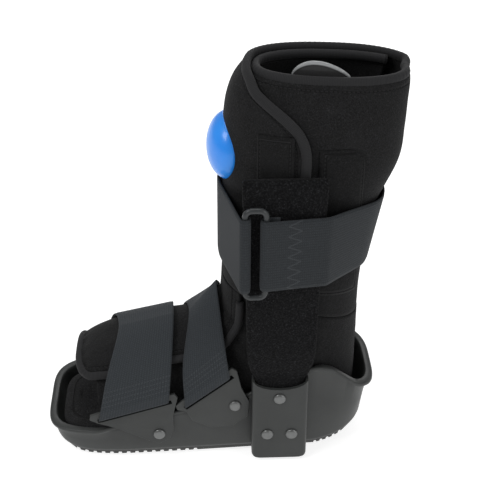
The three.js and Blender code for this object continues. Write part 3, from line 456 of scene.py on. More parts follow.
# u runs along the bladder's rim and v is the distance below it
def vinylMaterial():
    s = Shade("bladder_vinyl", 0.35, coat=0.15)
    u, v = s.uv()
    cloud = s.noise(70, 4)
    grain = s.noise(1500, 2)
    weld = s.mix(cloud, (0.2, 0.205, 0.21), (0.34, 0.35, 0.355))
    cloth = s.mix(grain, (0.008, 0.008, 0.008), (0.022, 0.022, 0.023))
    rim = 1.0 - s.remap(v, 0.0018, 0.0026)
    groove = 1.0 - s.remap((v - 0.0028).absolute(), 0.0002, 0.0008)
    colour = s.mix(rim, s.mix(groove * 0.6, cloth, (0.002, 0.002, 0.002)), weld)
    return s.finish(colour, s.remap(rim, 0, 1, 0.9, 0.38), cloud + grain * 0.4 + rim * 1.5, 0.3, 0.0005)


looks = {
    "foam": foamMaterial(),
    "foamTop": foamMaterial("liner_foam_rim", sewnTop=True),
    "foamBoth": foamMaterial("liner_foam_flap", sewnSide=True, sewnTop=True),
    "foamSide": foamMaterial("liner_foam_foot", sewnSide=True),
    "foamPatch": foamMaterial("liner_patch", sewnSide=True, sewnAt=0.0026, light=0.85),
    "foamPad": foamMaterial("insole_foam", sewnSide=True, sewnAt=0.0075, light=1.8),
    "tape": tapeMaterial(),
    "loop": loopMaterial(),
    "plastic": plasticMaterial("shell_plastic", (0.028, 0.0298, 0.029), (0.042, 0.0445, 0.0435)),
    "ring": plasticMaterial("ring_plastic", (0.022, 0.024, 0.025), (0.04, 0.043, 0.045), (0.16, 0.28)),
    "rubber": rubberMaterial(),
    "rivet": rivetMaterial(),
    "bulb": bulbMaterial(),
    "vinyl": vinylMaterial(),
}


def dress(piece, look, slotName, *replaced):
    piece.data.materials.clear()
    piece.data.materials.append(looks[look])
    if replaced:
        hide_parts(*replaced)
    return piece


print("materials made")

# Camera and light
camera = {
    "place": (-63.47, -754.84, 626.52),
    "yaw": 0.0455,
    "pitch": 0.5412,
    "roll": 0.0037,
    "lens": 86.25,
}
view = bpy.data.cameras.new("camera")
view.sensor_width = 36
view.lens = camera["lens"]
view.clip_start = 0.01
view.clip_end = 20
viewer = bpy.data.objects.new("camera", view)
bpy.context.scene.collection.objects.link(viewer)
yaw, pitch, roll = camera["yaw"], camera["pitch"], camera["roll"]
ahead = Vector((math.sin(yaw) * math.cos(pitch), math.cos(yaw) * math.cos(pitch), -math.sin(pitch)))
level = Vector((math.cos(yaw), -math.sin(yaw), 0))
upright = level.cross(ahead)
across = level * math.cos(roll) + upright * math.sin(roll)
above = upright * math.cos(roll) - level * math.sin(roll)
viewer.matrix_world = Matrix.Translation(Vector(camera["place"]) * mm) @ Matrix(
    (across, above, -ahead)
).transposed().to_4x4()
bpy.context.scene.camera = viewer


def addLight(name, place, target, size, power):
    data = bpy.data.lights.new(name, "AREA")
    data.size = size
    data.energy = power
    lamp = bpy.data.objects.new(name, data)
    bpy.context.scene.collection.objects.link(lamp)
    lamp.location = place
    lamp.rotation_euler = (Vector(target) - Vector(place)).to_track_quat("-Z", "Y").to_euler()


addLight("key", (-1.2, -0.7, 1.6), (0, 0, 0.12), 0.8, 15)
addLight("fill", (1.3, -0.9, 0.8), (0, 0, 0.12), 1.0, 7.5)
addLight("top", (0.0, 0.3, 1.7), (0, 0, 0.1), 0.9, 7)
addLight("rim", (0.2, 1.4, 0.9), (0, 0, 0.15), 0.9, 6)

world = bpy.data.worlds.new("studio")
bpy.context.scene.world = world
world.use_nodes = True
world.node_tree.nodes["Background"].inputs["Color"].default_value = (1, 1, 1, 1)
seen = world.node_tree.nodes.new("ShaderNodeLightPath")
backdrop = world.node_tree.nodes.new("ShaderNodeMapRange")
backdrop.inputs["To Min"].default_value = 0.33
backdrop.inputs["To Max"].default_value = 1.2
world.node_tree.links.new(seen.outputs["Is Camera Ray"], backdrop.inputs["Value"])
world.node_tree.links.new(backdrop.outputs["Result"], world.node_tree.nodes["Background"].inputs["Strength"])
bpy.context.scene.view_settings.view_transform = "Standard"

floorHalf = 4
floorLow = -0.0004
floorCorners = [(x * floorHalf, y * floorHalf, floorLow) for x, y in ((-1, -1), (1, -1), (1, 1), (-1, 1))]
floor = bpy.data.meshes.new("floor")
floor.from_pydata(floorCorners, [], [(0, 1, 2, 3)])
ground = bpy.data.objects.new("floor", floor)
bpy.context.scene.collection.objects.link(ground)
paper = Shade("floor_paper", 0.9)
paper.bsdf.inputs["Emission Color"].default_value = (1, 1, 1, 1)
paper.bsdf.inputs["Emission Strength"].default_value = 0.78
paperTone = paper.mix(paper.noise(3, 2), (0.48, 0.48, 0.48), (0.5, 0.5, 0.5))
floor.materials.append(paper.finish(paperTone, None, paper.noise(400), 0.02))
print("camera, light and floor made")

# Shell
rimRows = [
    (-1, 0), (-0.78, 0.01), (-0.7, 0.07), (-0.46, 0.28), (-0.4, 0.33), (-0.33, 0.31), (-0.24, 0.38),
    (-0.12, 0.58), (0, 0.78), (0.31, 0.95), (0.45, 1), (0.59, 0.94), (0.74, 0.77), (0.88, 0.6), (1.1, 0.5),
]
toeBend = -0.815 * toeReach
heelBend = 0.34 * heelReach
planMiddle = (heelReach - toeReach) / 2
planLong = (heelReach + toeReach) / 2


def rimHeight(x):
    share = x / np.where(x < 0, toeReach, heelReach)
    spread = [lookUp(rimRows, share + d) for d in (-0.03, -0.015, 0, 0.015, 0.03)]
    return lerp(toeRim, heelPeak, sum(spread) / len(spread))


def rocker(x):
    return 0.008 * np.minimum(0, x - toeBend) ** 2 + 0.0072 * np.maximum(0, x - heelBend) ** 2


def floorHeight(x):
    return np.maximum(floorTop, treadTop + rocker(x) + 3.5)


def sideHalf(x):
    return lerp(ballHalf, waistHalf, np.clip((x + 0.7 * toeReach) / (0.59 * toeReach), 0, 1))


def lipShare(x):
    toe = 1 - smooth(x, -0.8 * toeReach, -0.72 * toeReach)
    return toe + smooth(x, 0.32 * heelReach, 0.5 * heelReach)


def flare(x):
    return heelFlare * smooth(x, 0.45 * heelReach, heelReach)


def planPoint(turn, grow):
    angle = turn * 2 * np.pi
    cos, sin = np.cos(angle), np.sin(angle)
    power = 2 / np.where((cos > 0) & (sin >= 0), 5.5, 4)
    x = planMiddle - (planLong + grow) * bent(cos, power)
    y = -(sideHalf(x) + grow) * bent(sin, power)
    return x, y


def evenTurns(count):
    fine = np.linspace(0, 1, 4001)
    x, y = planPoint(fine, 0)
    run = np.concatenate([[0], np.cumsum(np.hypot(np.diff(x), np.diff(y)))])
    return np.interp((np.arange(count) + 0.5) / count * run[-1], run, fine)


turns = evenTurns(260)


def shellRing(grow, height):
    x, _ = planPoint(turns, 0)
    px, py = planPoint(turns, grow(x))
    return np.stack([px, py, height(px) + 0 * px], 1)


def lipOut(x):
    return lip * lipShare(x) + flare(x)


shell = {
    "profile": [
        (lambda x: -16 + 0 * x, lambda x: treadTop + rocker(x)),
        (lambda x: -6.5 + 0 * x, lambda x: treadTop + rocker(x)),
        (lambda x: -4 + 0 * x, lambda x: treadTop + rocker(x) + 0.4),
        (lambda x: -2.4 + 0 * x, lambda x: treadTop + rocker(x) + 1.8),
        (lambda x: -1.5 + 0 * x, lambda x: treadTop + rocker(x) + 4.2),
        (lambda x: 0.35 * flare(x) - 0.8, lambda x: lerp(treadTop + rocker(x), rimHeight(x), 0.5)),
        (lambda x: 0.7 * flare(x) - 0.1, lambda x: rimHeight(x) - 5),
        (lambda x: 0.75 * flare(x) + 0.3 * lip * lipShare(x), lambda x: rimHeight(x) - 3.6),
        (lambda x: lipOut(x) - 0.3, lambda x: rimHeight(x) - 3),
        (lipOut, lambda x: rimHeight(x) - 2.2),
        (lipOut, lambda x: rimHeight(x) - 0.9),
        (lambda x: lipOut(x) - 0.4, lambda x: rimHeight(x) - 0.25),
        (lambda x: lipOut(x) - 1.2, rimHeight),
        (lambda x: flare(x) - shellWall + 1.2, lambda x: rimHeight(x) - 0.15),
        (lambda x: flare(x) - shellWall + 0.4, lambda x: rimHeight(x) - 0.7),
        (lambda x: 0.85 * flare(x) - shellWall, lambda x: rimHeight(x) - 3),
        (lambda x: 0.4 * flare(x) - shellWall - 0.6, lambda x: lerp(floorHeight(x), rimHeight(x), 0.5)),
        (lambda x: -shellWall - 1.6 + 0 * x, lambda x: floorHeight(x) + 4),
        (lambda x: -shellWall - 3 + 0 * x, lambda x: floorHeight(x) + 1),
        (lambda x: -shellWall - 5 + 0 * x, floorHeight),
    ],
}
shellPiece = loft("shell_skin", [shellRing(g, h) for g, h in shell["profile"]], sharp=50)
dress(shellPiece, "plastic", "plastic", "shell")
print("shell made")


# Hard pieces with softened edges
def softened(node, width, segments=3, angle=35):
    mesh = bmesh.new()
    mesh.from_mesh(nodes[node].data)
    bmesh.ops.remove_doubles(mesh, verts=mesh.verts, dist=1e-6)
    bmesh.ops.dissolve_limit(
        mesh, angle_limit=math.radians(2.5), verts=mesh.verts, edges=mesh.edges, use_dissolve_boundaries=False
    )
    edges = [e for e in mesh.edges if e.is_manifold and e.calc_face_angle(0) > math.radians(angle)]
    bmesh.ops.bevel(
        mesh, geom=edges, offset=width * mm, segments=segments, profile=0.6,
        affect="EDGES", clamp_overlap=True,
    )
    bmesh.ops.triangulate(mesh, faces=[f for f in mesh.faces if len(f.verts) > 4])
    data = bpy.data.meshes.new(node + "_skin")
    mesh.to_mesh(data)
    mesh.free()
    for polygon in data.polygons:
        polygon.use_smooth = True
    data.set_sharp_from_angle(angle=math.radians(28))
    piece = bpy.data.objects.new(node + "_skin", data)
    bpy.context.scene.collection.objects.link(piece)
    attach(piece, "root")
    return piece


for side in ("left", "right"):
    dress(softened("bracket_" + side, 0.7), "plastic", "plastic", "bracket_" + side)
    for wing in ("front_wing_", "instep_wing_"):
        dress(softened(wing + side, 0.5), "plastic", "plastic", wing + side)
dress(softened("outsole", 0.35, 2), "rubber", "rubber", "outsole")
print("brackets, wings and outsole made")

rivet = {
    "radius": 4.7,
    "high": 2,
    "profile": [
        (1, 0), (1, 0.16), (0.97, 0.34), (0.9, 0.56), (0.78, 0.76),
        (0.6, 0.9), (0.4, 0.97), (0.15, 1), (0, 1),
    ],
}
for name in [n for n in nodes if "rivet" in n]:
    low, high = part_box(name)
    centre = (low + high) / 2 / mm
    outward = -1 if "left" in name else 1
    base = (low.y if outward > 0 else high.y) / mm
    angles = np.linspace(0, 2 * np.pi, 40, endpoint=False)
    rings = []
    for wide, rise in [(0, 0), *rivet["profile"]]:
        r = max(wide, 0.002) * rivet["radius"]
        away = 0 * angles + base + outward * rise * rivet["high"]
        rings.append(np.stack([centre.x + r * np.cos(angles), away, centre.z + r * np.sin(angles)], 1))
    dress(loft(name + "_head", rings, sharp=50), "rivet", "rivet", name)
print("rivets made")


# Insole pad
def padRing(grow, height):
    x, y = planPoint(turns[::2], -shellWall - 4.7 + grow)
    return np.stack([x, y, height(x) + 0 * x], 1)


def crowned(below):
    def height(x):
        dip = 0.8 * smooth(-x, 0.6 * toeReach, 0.8 * toeReach)
        return padTop - below - dip * 0.5
    return height


padRows = [
    (-14, lambda x: floorHeight(x) + 0.3),
    (-3.4, lambda x: floorHeight(x) + 0.3),
    (-0.6, lambda x: floorHeight(x) + 3.7),
    (0, lambda x: lerp(floorHeight(x), padTop, 0.6)),
    (-0.1, crowned(2.6)),
    (-0.8, crowned(1.2)),
    (-2.2, crowned(0.4)),
    (-4, crowned(0.1)),
    (-6.4, crowned(0.0)),
    (-9, crowned(0.0)),
    (-14, crowned(0.2)),
]
pad = np.array([padRing(grow, height) for grow, height in padRows])
padUv = [np.stack([0 * turns[::2] - grow, turns[::2] * 600], 1) for grow, _ in padRows]
flatPad = pad.reshape(-1, 3)
flatPad[:, 2] += ripple(flatPad, 0.05, 0.5, 3.0) * (flatPad[:, 2] > padTop - 4)
insolePiece = dress(loft("insole_pad", pad, padUv), "foamPad", "foam", "insole")
print("insole made")

# Liner surface: one row of values for each section, from the top rim to the toes
liner = {
    "front": [-0.12, -0.165, -0.19, -0.203, -0.206, -0.206, -0.206, -0.206, -0.209,
              -0.222, -0.262, -0.316, -0.38, -0.48, -0.59, -0.69, -0.78, -0.865],
    "top": [0.984, 0.942, 0.893, 0.83, 0.745, 0.635, 0.545, 0.47, 0.41,
            0.325, 0.295, 0.27, 0.246, 0.232, 0.222, 0.197, 0.174, 0.143],
    "back": [1.275, 1.285, 1.275, 1.265, 1.23, 1.035, 0.955, 0.9, 0.885,
             0.885, 0.875, 0.76, 0.3, -0.1, -0.35, -0.58, -0.74, -0.84],
    "low": [0.968, 0.942, 0.893, 0.83, 0.745, 0.63, 0.525, 0.42, 0.31,
            0.2, 0.08, -0.035, -0.055, -0.055, -0.055, -0.055, -0.055, -0.055],
    "half": [0.7, 0.8, 0.9, 0.97, 1, 1, 1, 1, 0.985,
             0.965, 0.95, 0.945, 0.95, 0.965, 0.985, 1, 1, 0.97],
    "shift": [-0.05, -0.02, -0.01, 0, 0, 0, 0, 0, 0, 0, 0, 0, 0, 0, 0, 0, 0, 0],
    "square": [2.3, 2.3, 2.3, 2.3, 2.3, 2.3, 2.3, 2.4, 2.5, 2.6, 2.8, 3, 3.2, 3.4, 3.4, 3.4, 3.2, 3],
}
ankle = 8
toeRow = 17
seam = 0.49976


def along(share):
    return share * np.where(share < 0, toeReach, heelReach)


def linerPoint(row, around):
    row, around = np.broadcast_arrays(np.asarray(row, float), np.asarray(around, float))
    read = {key: readTable(column, row) for key, column in liner.items()}
    frontX, frontZ = along(read["front"]), padTop + read["top"] * legRise
    backX, backZ = along(read["back"]), padTop + read["low"] * legRise
    angle = around * 2 * np.pi
    cos, sin = np.cos(angle), np.sin(angle)
    power = 2 / np.where(cos > 0, 2.35, read["square"])
    depth = (bent(cos, power) + 1) / 2
    y = linerHalf * (read["shift"] - read["half"] * bent(sin, power))
    return np.stack([lerp(backX, frontX, depth), y, lerp(backZ, frontZ, depth)], -1)


def linerOffset(row, around, offset):
    row, around, offset = np.broadcast_arrays(*(np.asarray(a, float) for a in (row, around, offset)))
    step = 0.004
    down = linerPoint(np.minimum(toeRow, row + step), around) - linerPoint(np.maximum(0, row - step), around)
    sideways = linerPoint(row, around + step) - linerPoint(row, around - step)
    normal = np.cross(down, sideways)
    normal /= np.linalg.norm(normal, axis=-1, keepdims=True)
    return linerPoint(row, around) + normal * offset[..., None]


def rowAtHeight(around, height, low=0, high=ankle):
    around, height = np.broadcast_arrays(np.asarray(around, float), np.asarray(height, float))
    low = np.full(around.shape, float(low))
    return findZero(lambda r: linerPoint(r, around)[..., 2] - height, low, low * 0 + high)


def roundAtX(row, x):
    row, x = np.broadcast_arrays(np.asarray(row, float), np.asarray(x, float))
    low = np.full(row.shape, 0.001)
    return findZero(lambda a: linerPoint(row, a)[..., 0] - x, low, low * 0 + 0.499)


def lowestRound(row):
    row = np.asarray(row, float)
    height = padTop + 0.5
    low = np.full(row.shape, 0.2)
    found = findZero(lambda a: linerPoint(row, a)[..., 2] - height, low, low * 0 + 0.4995)
    return np.where(linerPoint(row, 0.4995)[..., 2] > height, 0.4995, found)


def legLift(around):
    return layer * smooth(around, -0.49, -0.43)


def footLift(around):
    return layer * smooth(around, -0.17, -0.125)


def outerLift(row, around):
    return lerp(legLift(around), footLift(around), smooth(row, ankle, ankle + 1.3))


flapEdge = [
    (0.44, 0.2), (0.76, 0.21), (0.8, 0.215), (0.83, 0.2),
    (0.865, 0.13), (0.893, 0.01), (0.92, -0.15), (0.945, -0.29),
]
flapTopRound = -0.045
innerBind = -bindThick
outerBind = gap + bindThick
freeEnd = -0.385


def outerEdgeRound(row):
    row = np.asarray(row, float)
    high = (linerPoint(row, 0.2)[..., 2] - padTop) / legRise
    share = sum(lookUp(flapEdge, high + d) for d in (-0.012, -0.006, 0, 0.006, 0.012)) / 5
    low = roundAtX(row, heelReach * np.where(row > 7.5, flapEdge[0][1], share))
    return lerp(flapTopRound, low, smooth(row, -0.35, 0.7))


edgeSqueeze = 0.9


def thickSheet(name, rows, columns, start, end, lift, thickness, wrinkle=None, pinch=None):
    share = np.linspace(0, 1, columns + 1)[None, :]
    rows = np.asarray(rows, float)[:, None]
    around = lerp(start(rows[:, 0])[:, None], end(rows[:, 0])[:, None], share)
    rowGrid = rows + 0 * share
    high = lift(rowGrid, around)
    if wrinkle is not None:
        high = high + wrinkle(rowGrid, around)
    if pinch is not None:
        squeeze = edgeSqueeze * pinch(rowGrid, share + 0 * rowGrid)
        high = high - squeeze
        thickness = thickness - 2 * squeeze
    outer = linerOffset(rowGrid, around, high)
    middle = linerOffset(rowGrid, around, high - thickness / 2)
    inner = linerOffset(rowGrid, around, high - thickness)
    edgeA, edgeB = middle[:, -1:], middle[:, :1]
    rings = np.concatenate([outer, edgeA, inner[:, ::-1], edgeB], 1)
    across = np.linalg.norm(np.diff(outer, axis=1), axis=2)
    fromEnd = np.concatenate([np.cumsum(across[:, ::-1], 1)[:, ::-1], 0 * across[:, :1]], 1)
    down = np.linalg.norm(np.diff(outer, axis=0), axis=2)
    fromTop = np.concatenate([0 * down[:1], np.cumsum(down, 0)], 0)
    uv = np.stack([fromEnd, fromTop], -1)
    return loft(name, rings, np.concatenate([uv, uv[:, -1:], uv[:, ::-1], uv[:, :1]], 1))


# Folds where the liner bends at the ankle, and the fabric's slow waves
def legFolds(row, around):
    points = linerPoint(row, around).reshape(-1, 3)
    waves = ripple(points, 0.022, 1.1, 7.0).reshape(row.shape)
    crease = np.sin(row * 5.2 + around * 9) * smooth(row, 6.0, 7.4) * 0.9
    return waves * 0.6 + crease * np.exp(-((around - 0.16) / 0.12) ** 2)


def footFolds(row, around):
    points = linerPoint(row, around).reshape(-1, 3)
    waves = ripple(points, 0.03, 1.0, 11.0).reshape(row.shape)
    bend = np.sin(row * 7 - around * 26) * (1 - smooth(row, 10.2, 12)) * np.exp(-((around - 0.19) / 0.1) ** 2)
    pucker = np.sin(around * 150) * smooth(row, 16.1, 16.9) * 0.35
    return waves * 0.7 + bend * 0.8 + pucker


# Where a binding squeezes the foam's edge: 1 there, and 0 away from it
def rimPinch(row, share):
    return 1 - smooth(row, 0.15, 0.6)


def flapPinch(row, share):
    freeEdge = smooth(share, 0.962, 0.982) * (1 - smooth(row, 3.8, 4.4))
    return np.maximum(rimPinch(row, share), freeEdge)


def footPinch(row, share):
    return np.maximum(smooth(share, 0.955, 0.978), smooth(row, 16.3, 16.8))


legRows = np.concatenate([np.linspace(0, 1, 14)[:-1], np.linspace(1, 4, 24)[:-1], np.linspace(4, ankle, 42)])
legInner = thickSheet(
    "leg_flap_inner", legRows, 150, lambda r: freeEnd + 0 * r, lambda r: seam + 0 * r,
    lambda r, a: 0 * a, foam, lambda r, a: np.minimum(0, legFolds(r, a)) * 0.7, rimPinch,
)
legOuter = thickSheet(
    "leg_flap_outer", legRows, 150, lambda r: -seam + 0 * r, outerEdgeRound,
    outerLift, foam, lambda r, a: legFolds(r, a) * smooth(a, -0.47, -0.4) * 0.6, flapPinch,
)
footRows = np.concatenate([np.linspace(8.03, 12, 48)[:-1], np.linspace(12, 16.2, 36)])
toeRows = np.concatenate([footRows[:-1], np.linspace(16.2, toeRow, 16)])
footEdgeRows = [(8, 0.11), (11, 0.125), (15.6, 0.135), (16.4, 0.12), (16.8, 0.08), (17, 0.03)]


def footEdge(row):
    return sum(lookUp(footEdgeRows, row + d) for d in (-0.1, 0, 0.1)) / 3


footInner = thickSheet(
    "foot_flap_inner", footRows, 110, lambda r: -0.07 + 0 * r, lambda r: np.minimum(seam, lowestRound(r)),
    lambda r, a: 0 * a, foam, lambda r, a: footFolds(r, a) * smooth(a, 0.0, 0.1),
)
footOuter = thickSheet(
    "foot_flap_outer", toeRows, 120, lambda r: -np.minimum(seam, lowestRound(r)), footEdge,
    outerLift, foam, footFolds, footPinch,
)
for piece, look, node in (
    (legInner, "foamTop", "leg_wrap_inner"), (legOuter, "foamBoth", "leg_wrap_outer"),
    (footInner, "foam", "foot_wrap_inner"), (footOuter, "foamSide", "foot_wrap_outer"),
):
    dress(piece, look, "foam", node)
print("liner flaps made")


# Rolled bindings, each along a line of places on the liner
def binding(name, row, around, offset, node, slim=0.84, sides=18):
    at = linerOffset(row, around, offset)
    out = linerOffset(row, around, np.asarray(offset) + 1) - at
    for _ in range(3):
        at[1:-1] = (at[:-2] + 2 * at[1:-1] + at[2:]) / 4
    run = np.gradient(at, axis=0)
    run /= np.linalg.norm(run, axis=1, keepdims=True)
    side = np.cross(run, out)
    side /= np.linalg.norm(side, axis=1, keepdims=True)
    rise = np.cross(side, run)
    length = np.concatenate([[0], np.cumsum(np.linalg.norm(np.diff(at, axis=0), axis=1))])
    rings, uvs = [], []
    pull = 1 + 0.035 * np.sin(length * 2 * np.pi / 3.6)
    for i in range(len(at)):
        angle = (np.arange(sides) + 0.5) / sides * 2 * np.pi
        wide = bent(np.cos(angle), 0.95) * bindWide * slim
        tall = bent(np.sin(angle), 0.95) * bindThick * 0.95 * pull[i]
        rings.append(at[i] + side[i] * wide[:, None] + rise[i] * tall[:, None])
        uvs.append(np.stack([0 * angle + length[i], angle / (2 * np.pi) * 24], 1))
    piece = loft(name, rings, uvs)
    dress(piece, "tape", "tape", node)
    return piece


rim = lerp(seam, freeEnd, np.linspace(0, 1, 260))
binding("leg_binding_inner", 0 * rim, rim, innerBind + 0 * rim, "binding_inner")

rim = lerp(-seam, flapTopRound, np.linspace(0, 1, 170))
down = np.concatenate([[0.03, 0.07, 0.12, 0.18], np.arange(0.24, 4.1, 0.06)])
rows = np.concatenate([0 * rim, down])
arounds = np.concatenate([rim, outerEdgeRound(down)])
offsets = np.concatenate([lerp(innerBind, outerBind, smooth(rim, -0.49, -0.43)), 0 * down + outerBind])
binding("leg_binding_outer", rows, arounds, offsets, "binding_outer")

down = np.concatenate([np.arange(8.35, 16, 0.07), np.arange(16, 16.98, 0.03)])
end = np.linspace(0.02, -0.22, 50)
rows = np.concatenate([down, 17 + 0 * end])
arounds = np.concatenate([footEdge(down), end])
binding("foot_binding", rows, arounds, outerBind + 0 * rows, "binding_foot", 0.72)
print("bindings made")


# Pump bulb, from its welded lip up to the dome
bulb = {
    "seat": 0.6,
    "out": 16.4,
    "across": 24,
    "dome": 0.955,
    "lip": [(0.3, 0), (0.7, 0), (0.97, 0), (1, 0.6), (1, 2), (0.985, 2.9), (0.95, 3.3), (0.925, 3.9)],
}


def bulbRing(size, above, count=64):
    angle = (np.arange(count) + 0.5) / count * 2 * np.pi
    row = rowAtHeight(0 * angle, bulbMiddle + size * bulbUp * np.sin(angle))
    around = size * bulb["across"] / (2 * np.pi * linerHalf) * np.cos(angle)
    return linerOffset(row, around, bulb["seat"] + above)


rings = [bulbRing(size, above) for size, above in bulb["lip"]]
for size in np.cos(np.linspace(0.25, 1.52, 16)) * bulb["dome"]:
    rise = math.sqrt(max(0.0, 1 - (size / bulb["dome"]) ** 2 * 0.97))
    rings.append(bulbRing(size, bulb["out"] * rise))
dress(loft("bulb_dome", rings), "bulb", "bulb", "pump_bulb")
print("bulb made")


# Air bladder's welded edge
def bladder():
    columns = 60
    share = np.linspace(0, 1, 40)[:, None]
    part = np.linspace(0, 1, columns + 1)[None, :]
    x = lerp(0.03, 0.66, part) * heelReach
    crest = np.sin(np.pi * part ** 0.75).clip(0, 1) ** 0.7
    top = lerp(0.975, 1.017, crest)
    z = padTop + lerp(0.8, top, share) * legRise
    low = np.minimum(z, linerPoint(0, 0.25)[2])
    row = rowAtHeight(0.25 + 0 * z, low)
    around = roundAtX(row, x + 0 * z)
    walls = []
    for depth in (0, 0.8, 1.6):
        wall = linerOffset(row, around, -foam - 3.5 - depth - 0.2 * share)
        wall[..., 2] = z
        walls.append(wall)
    ring = np.concatenate([walls[0], walls[1][:, -1:], walls[2][:, ::-1], walls[1][:, :1]], 1)
    below = (padTop + top * legRise - z)
    u = x + 0 * z
    uv = np.stack([u, below], -1)
    return loft("bladder_edge", ring, np.concatenate([uv, uv[:, -1:], uv[:, ::-1], uv[:, :1]], 1))


bladderPiece = dress(bladder(), "vinyl", "vinyl", "air_bladder")


# Patches on the leg and on the flap's small panel, in the sewn foam patch look
def patch(name, shape, lift, node, look):
    columns, count = 44, 50
    share = np.linspace(0, 1, count)
    z = padTop + lerp(shape["low"], shape["high"], share) * legRise
    row = rowAtHeight(0.25 + 0 * z, z)
    corner = shape.get("corner", 0) * heelReach
    fromTop = z[-1] - z
    drawn = corner - np.sqrt(np.maximum(0, corner ** 2 - np.maximum(0, corner - fromTop) ** 2))
    start = roundAtX(row, shape["start"] * heelReach + 0 * row)
    end = roundAtX(row, shape["end"] * heelReach - drawn)
    part = np.linspace(0, 1, columns + 1)
    around = lerp(start[:, None], end[:, None], part[None, :])
    rowGrid = row[:, None] + 0 * around
    edge = np.minimum(np.minimum(part, 1 - part)[None, :] * 12, np.minimum(share, 1 - share)[:, None] * 12)
    rise = patchThick * np.clip(edge, 0, 1) ** 0.5 + 0.15
    outer = linerOffset(rowGrid, around, lift + rise)
    inner = linerOffset(rowGrid, around, lift)
    width = np.linalg.norm(outer[:, -1] - outer[:, 0], axis=1)[:, None]
    tall = z[-1] - z[0]
    fromSides = np.minimum(part, 1 - part)[None, :] * width
    inside = np.minimum(fromSides, np.minimum(share, 1 - share)[:, None] * tall)
    uv = np.stack([inside, z[:, None] + 0 * inside], -1)
    piece = loft(name, np.concatenate([outer, inner[:, ::-1]], 1), np.concatenate([uv, uv[:, ::-1]], 1))
    dress(piece, look, "loop", node)


sidePatch = {"low": 0.42, "high": 0.818, "start": 0.34, "end": 0.8, "corner": 0.16}
flapPanel = {"low": 0.74, "high": 0.855, "start": -0.23, "end": 0.1}
patch("leg_patch", sidePatch, 0.5, "side_patch", "foamPatch")
patch("flap_patch", flapPanel, layer + 0.5, "flap_panel", "foamPatch")
print("patches made")

# Padded covers of the uprights
coverRows = {
    "high": [0.075, 0.19, 0.313, 0.34, 0.375, 0.42, 0.5, 0.65, 0.78, 0.9, 0.97, 0.985, 0.996, 1],
    "half": [0.63, 0.63, 0.635, 0.74, 0.815, 0.855, 0.87, 0.89, 0.93, 0.97, 0.99, 0.995, 0.985, 0.96],
    "seat": [0, 0, 0, 0.3, 0.7, 1, 1, 1, 1, 1, 1, 1, 1, 1],
    "thick": [0.93, 0.93, 0.93, 0.95, 0.98, 1, 1, 1, 1, 1, 0.95, 0.85, 0.7, 0.45],
}


def cover(side, name):
    fine = np.linspace(0, 1, 120)
    at = fine * (len(coverRows["high"]) - 1)
    high, half, seat, thickShare = (np.interp(at, range(len(row)), row) for row in coverRows.values())
    count = 72
    turn = (np.arange(count) + 0.5) / count * 2 * np.pi
    rings = []
    for i in range(len(fine)):
        inner = lerp(waistHalf + 0.6, coverInner, seat[i])
        thick = thickShare[i] * coverThick
        wide = half[i] * coverHalf
        x = bent(np.cos(turn), 0.32) * wide
        y = bent(np.sin(turn), 0.42) * thick / 2
        dent = 0.35 * np.exp(-((np.abs(x) - wide + 3.2) / 0.7) ** 2) * np.sign(y)
        rings.append(np.stack([x, side * (inner + thick / 2 + y - dent), 0 * x + high[i] * coverHeight], 1))
    rings = np.array(rings)
    flat = rings.reshape(-1, 3)
    flat[:, 1] += side * ripple(flat, 0.03, 0.35, 5.0) * (np.abs(flat[:, 1]) > coverInner + 4)
    return loft(name, rings)


for side, label in ((-1, "left"), (1, "right")):
    piece = dress(cover(side, "cover_" + label), "loop", "loop", "upright_cover_" + label)
print("covers made")


# Webbing
def hullOf(points):
    ordered = sorted(map(tuple, points))

    def turn(o, a, b):
        return (a[0] - o[0]) * (b[1] - o[1]) - (a[1] - o[1]) * (b[0] - o[0])

    def half(run):
        chain = []
        for p in run:
            while len(chain) > 1 and turn(chain[-2], chain[-1], p) <= 0:
                chain.pop()
            chain.append(p)
        return chain[:-1]

    return half(ordered) + half(ordered[::-1])


def spaced(path, count):
    path = np.asarray(path, float)
    run = np.concatenate([[0], np.cumsum(np.hypot(*np.diff(path, axis=0).T))])
    target = np.linspace(0, run[-1], count + 1)
    return np.stack([np.interp(target, run, path[:, k]) for k in (0, 1)], 1)


def shifted(path, offset):
    before = np.vstack([path[:1], path[:-1]])
    after = np.vstack([path[1:], path[-1:]])
    run = after - before
    run /= np.linalg.norm(run, axis=1, keepdims=True)
    return path + np.stack([run[:, 1], -run[:, 0]], 1) * offset


# A woven band between two edge lines, given as points on its outer and inner face
def band(name, outerA, outerB, innerA, innerB, look, nodeName, bow=0):
    columns = 20
    swell = bow * np.sin(np.linspace(0, 2 * np.pi, len(outerA))) ** 2
    toToes = outerA - outerB
    toToes = toToes / np.linalg.norm(toToes, axis=1, keepdims=True) * swell[:, None]
    outerA, innerA = outerA + toToes, innerA + toToes
    part = np.linspace(0, 1, columns + 1)
    middle = (outerA + outerB) / 2
    run = np.concatenate([[0], np.cumsum(np.linalg.norm(np.diff(middle, axis=0), axis=1))])
    width = float(np.median(np.linalg.norm(outerA - outerB, axis=1)))
    rings, uvs = [], []
    for i in range(len(outerA)):
        top = lerp(outerA[i], outerB[i], part[:, None])
        under = lerp(innerA[i], innerB[i], part[:, None])
        half = (top - under) / 2
        centre = (top + under) / 2
        full = 1 - 0.45 * np.clip(np.abs(part - 0.5) * 2 - 0.94, 0, 1) / 0.06
        top, under = centre + half * full[:, None], centre - half * full[:, None]
        rings.append(np.concatenate([top, under[::-1]]))
        v = np.concatenate([part, part[::-1]]) * width
        uvs.append(np.stack([0 * v + run[i], v], 1))
    piece = loft(name, rings, uvs)
    piece.data.materials.clear()
    piece.data.materials.append(look(run[-1] * mm))
    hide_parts(nodeName)
    print(name, "webbing length mm", round(float(run[-1]), 1), "width", round(width, 1))
    return piece


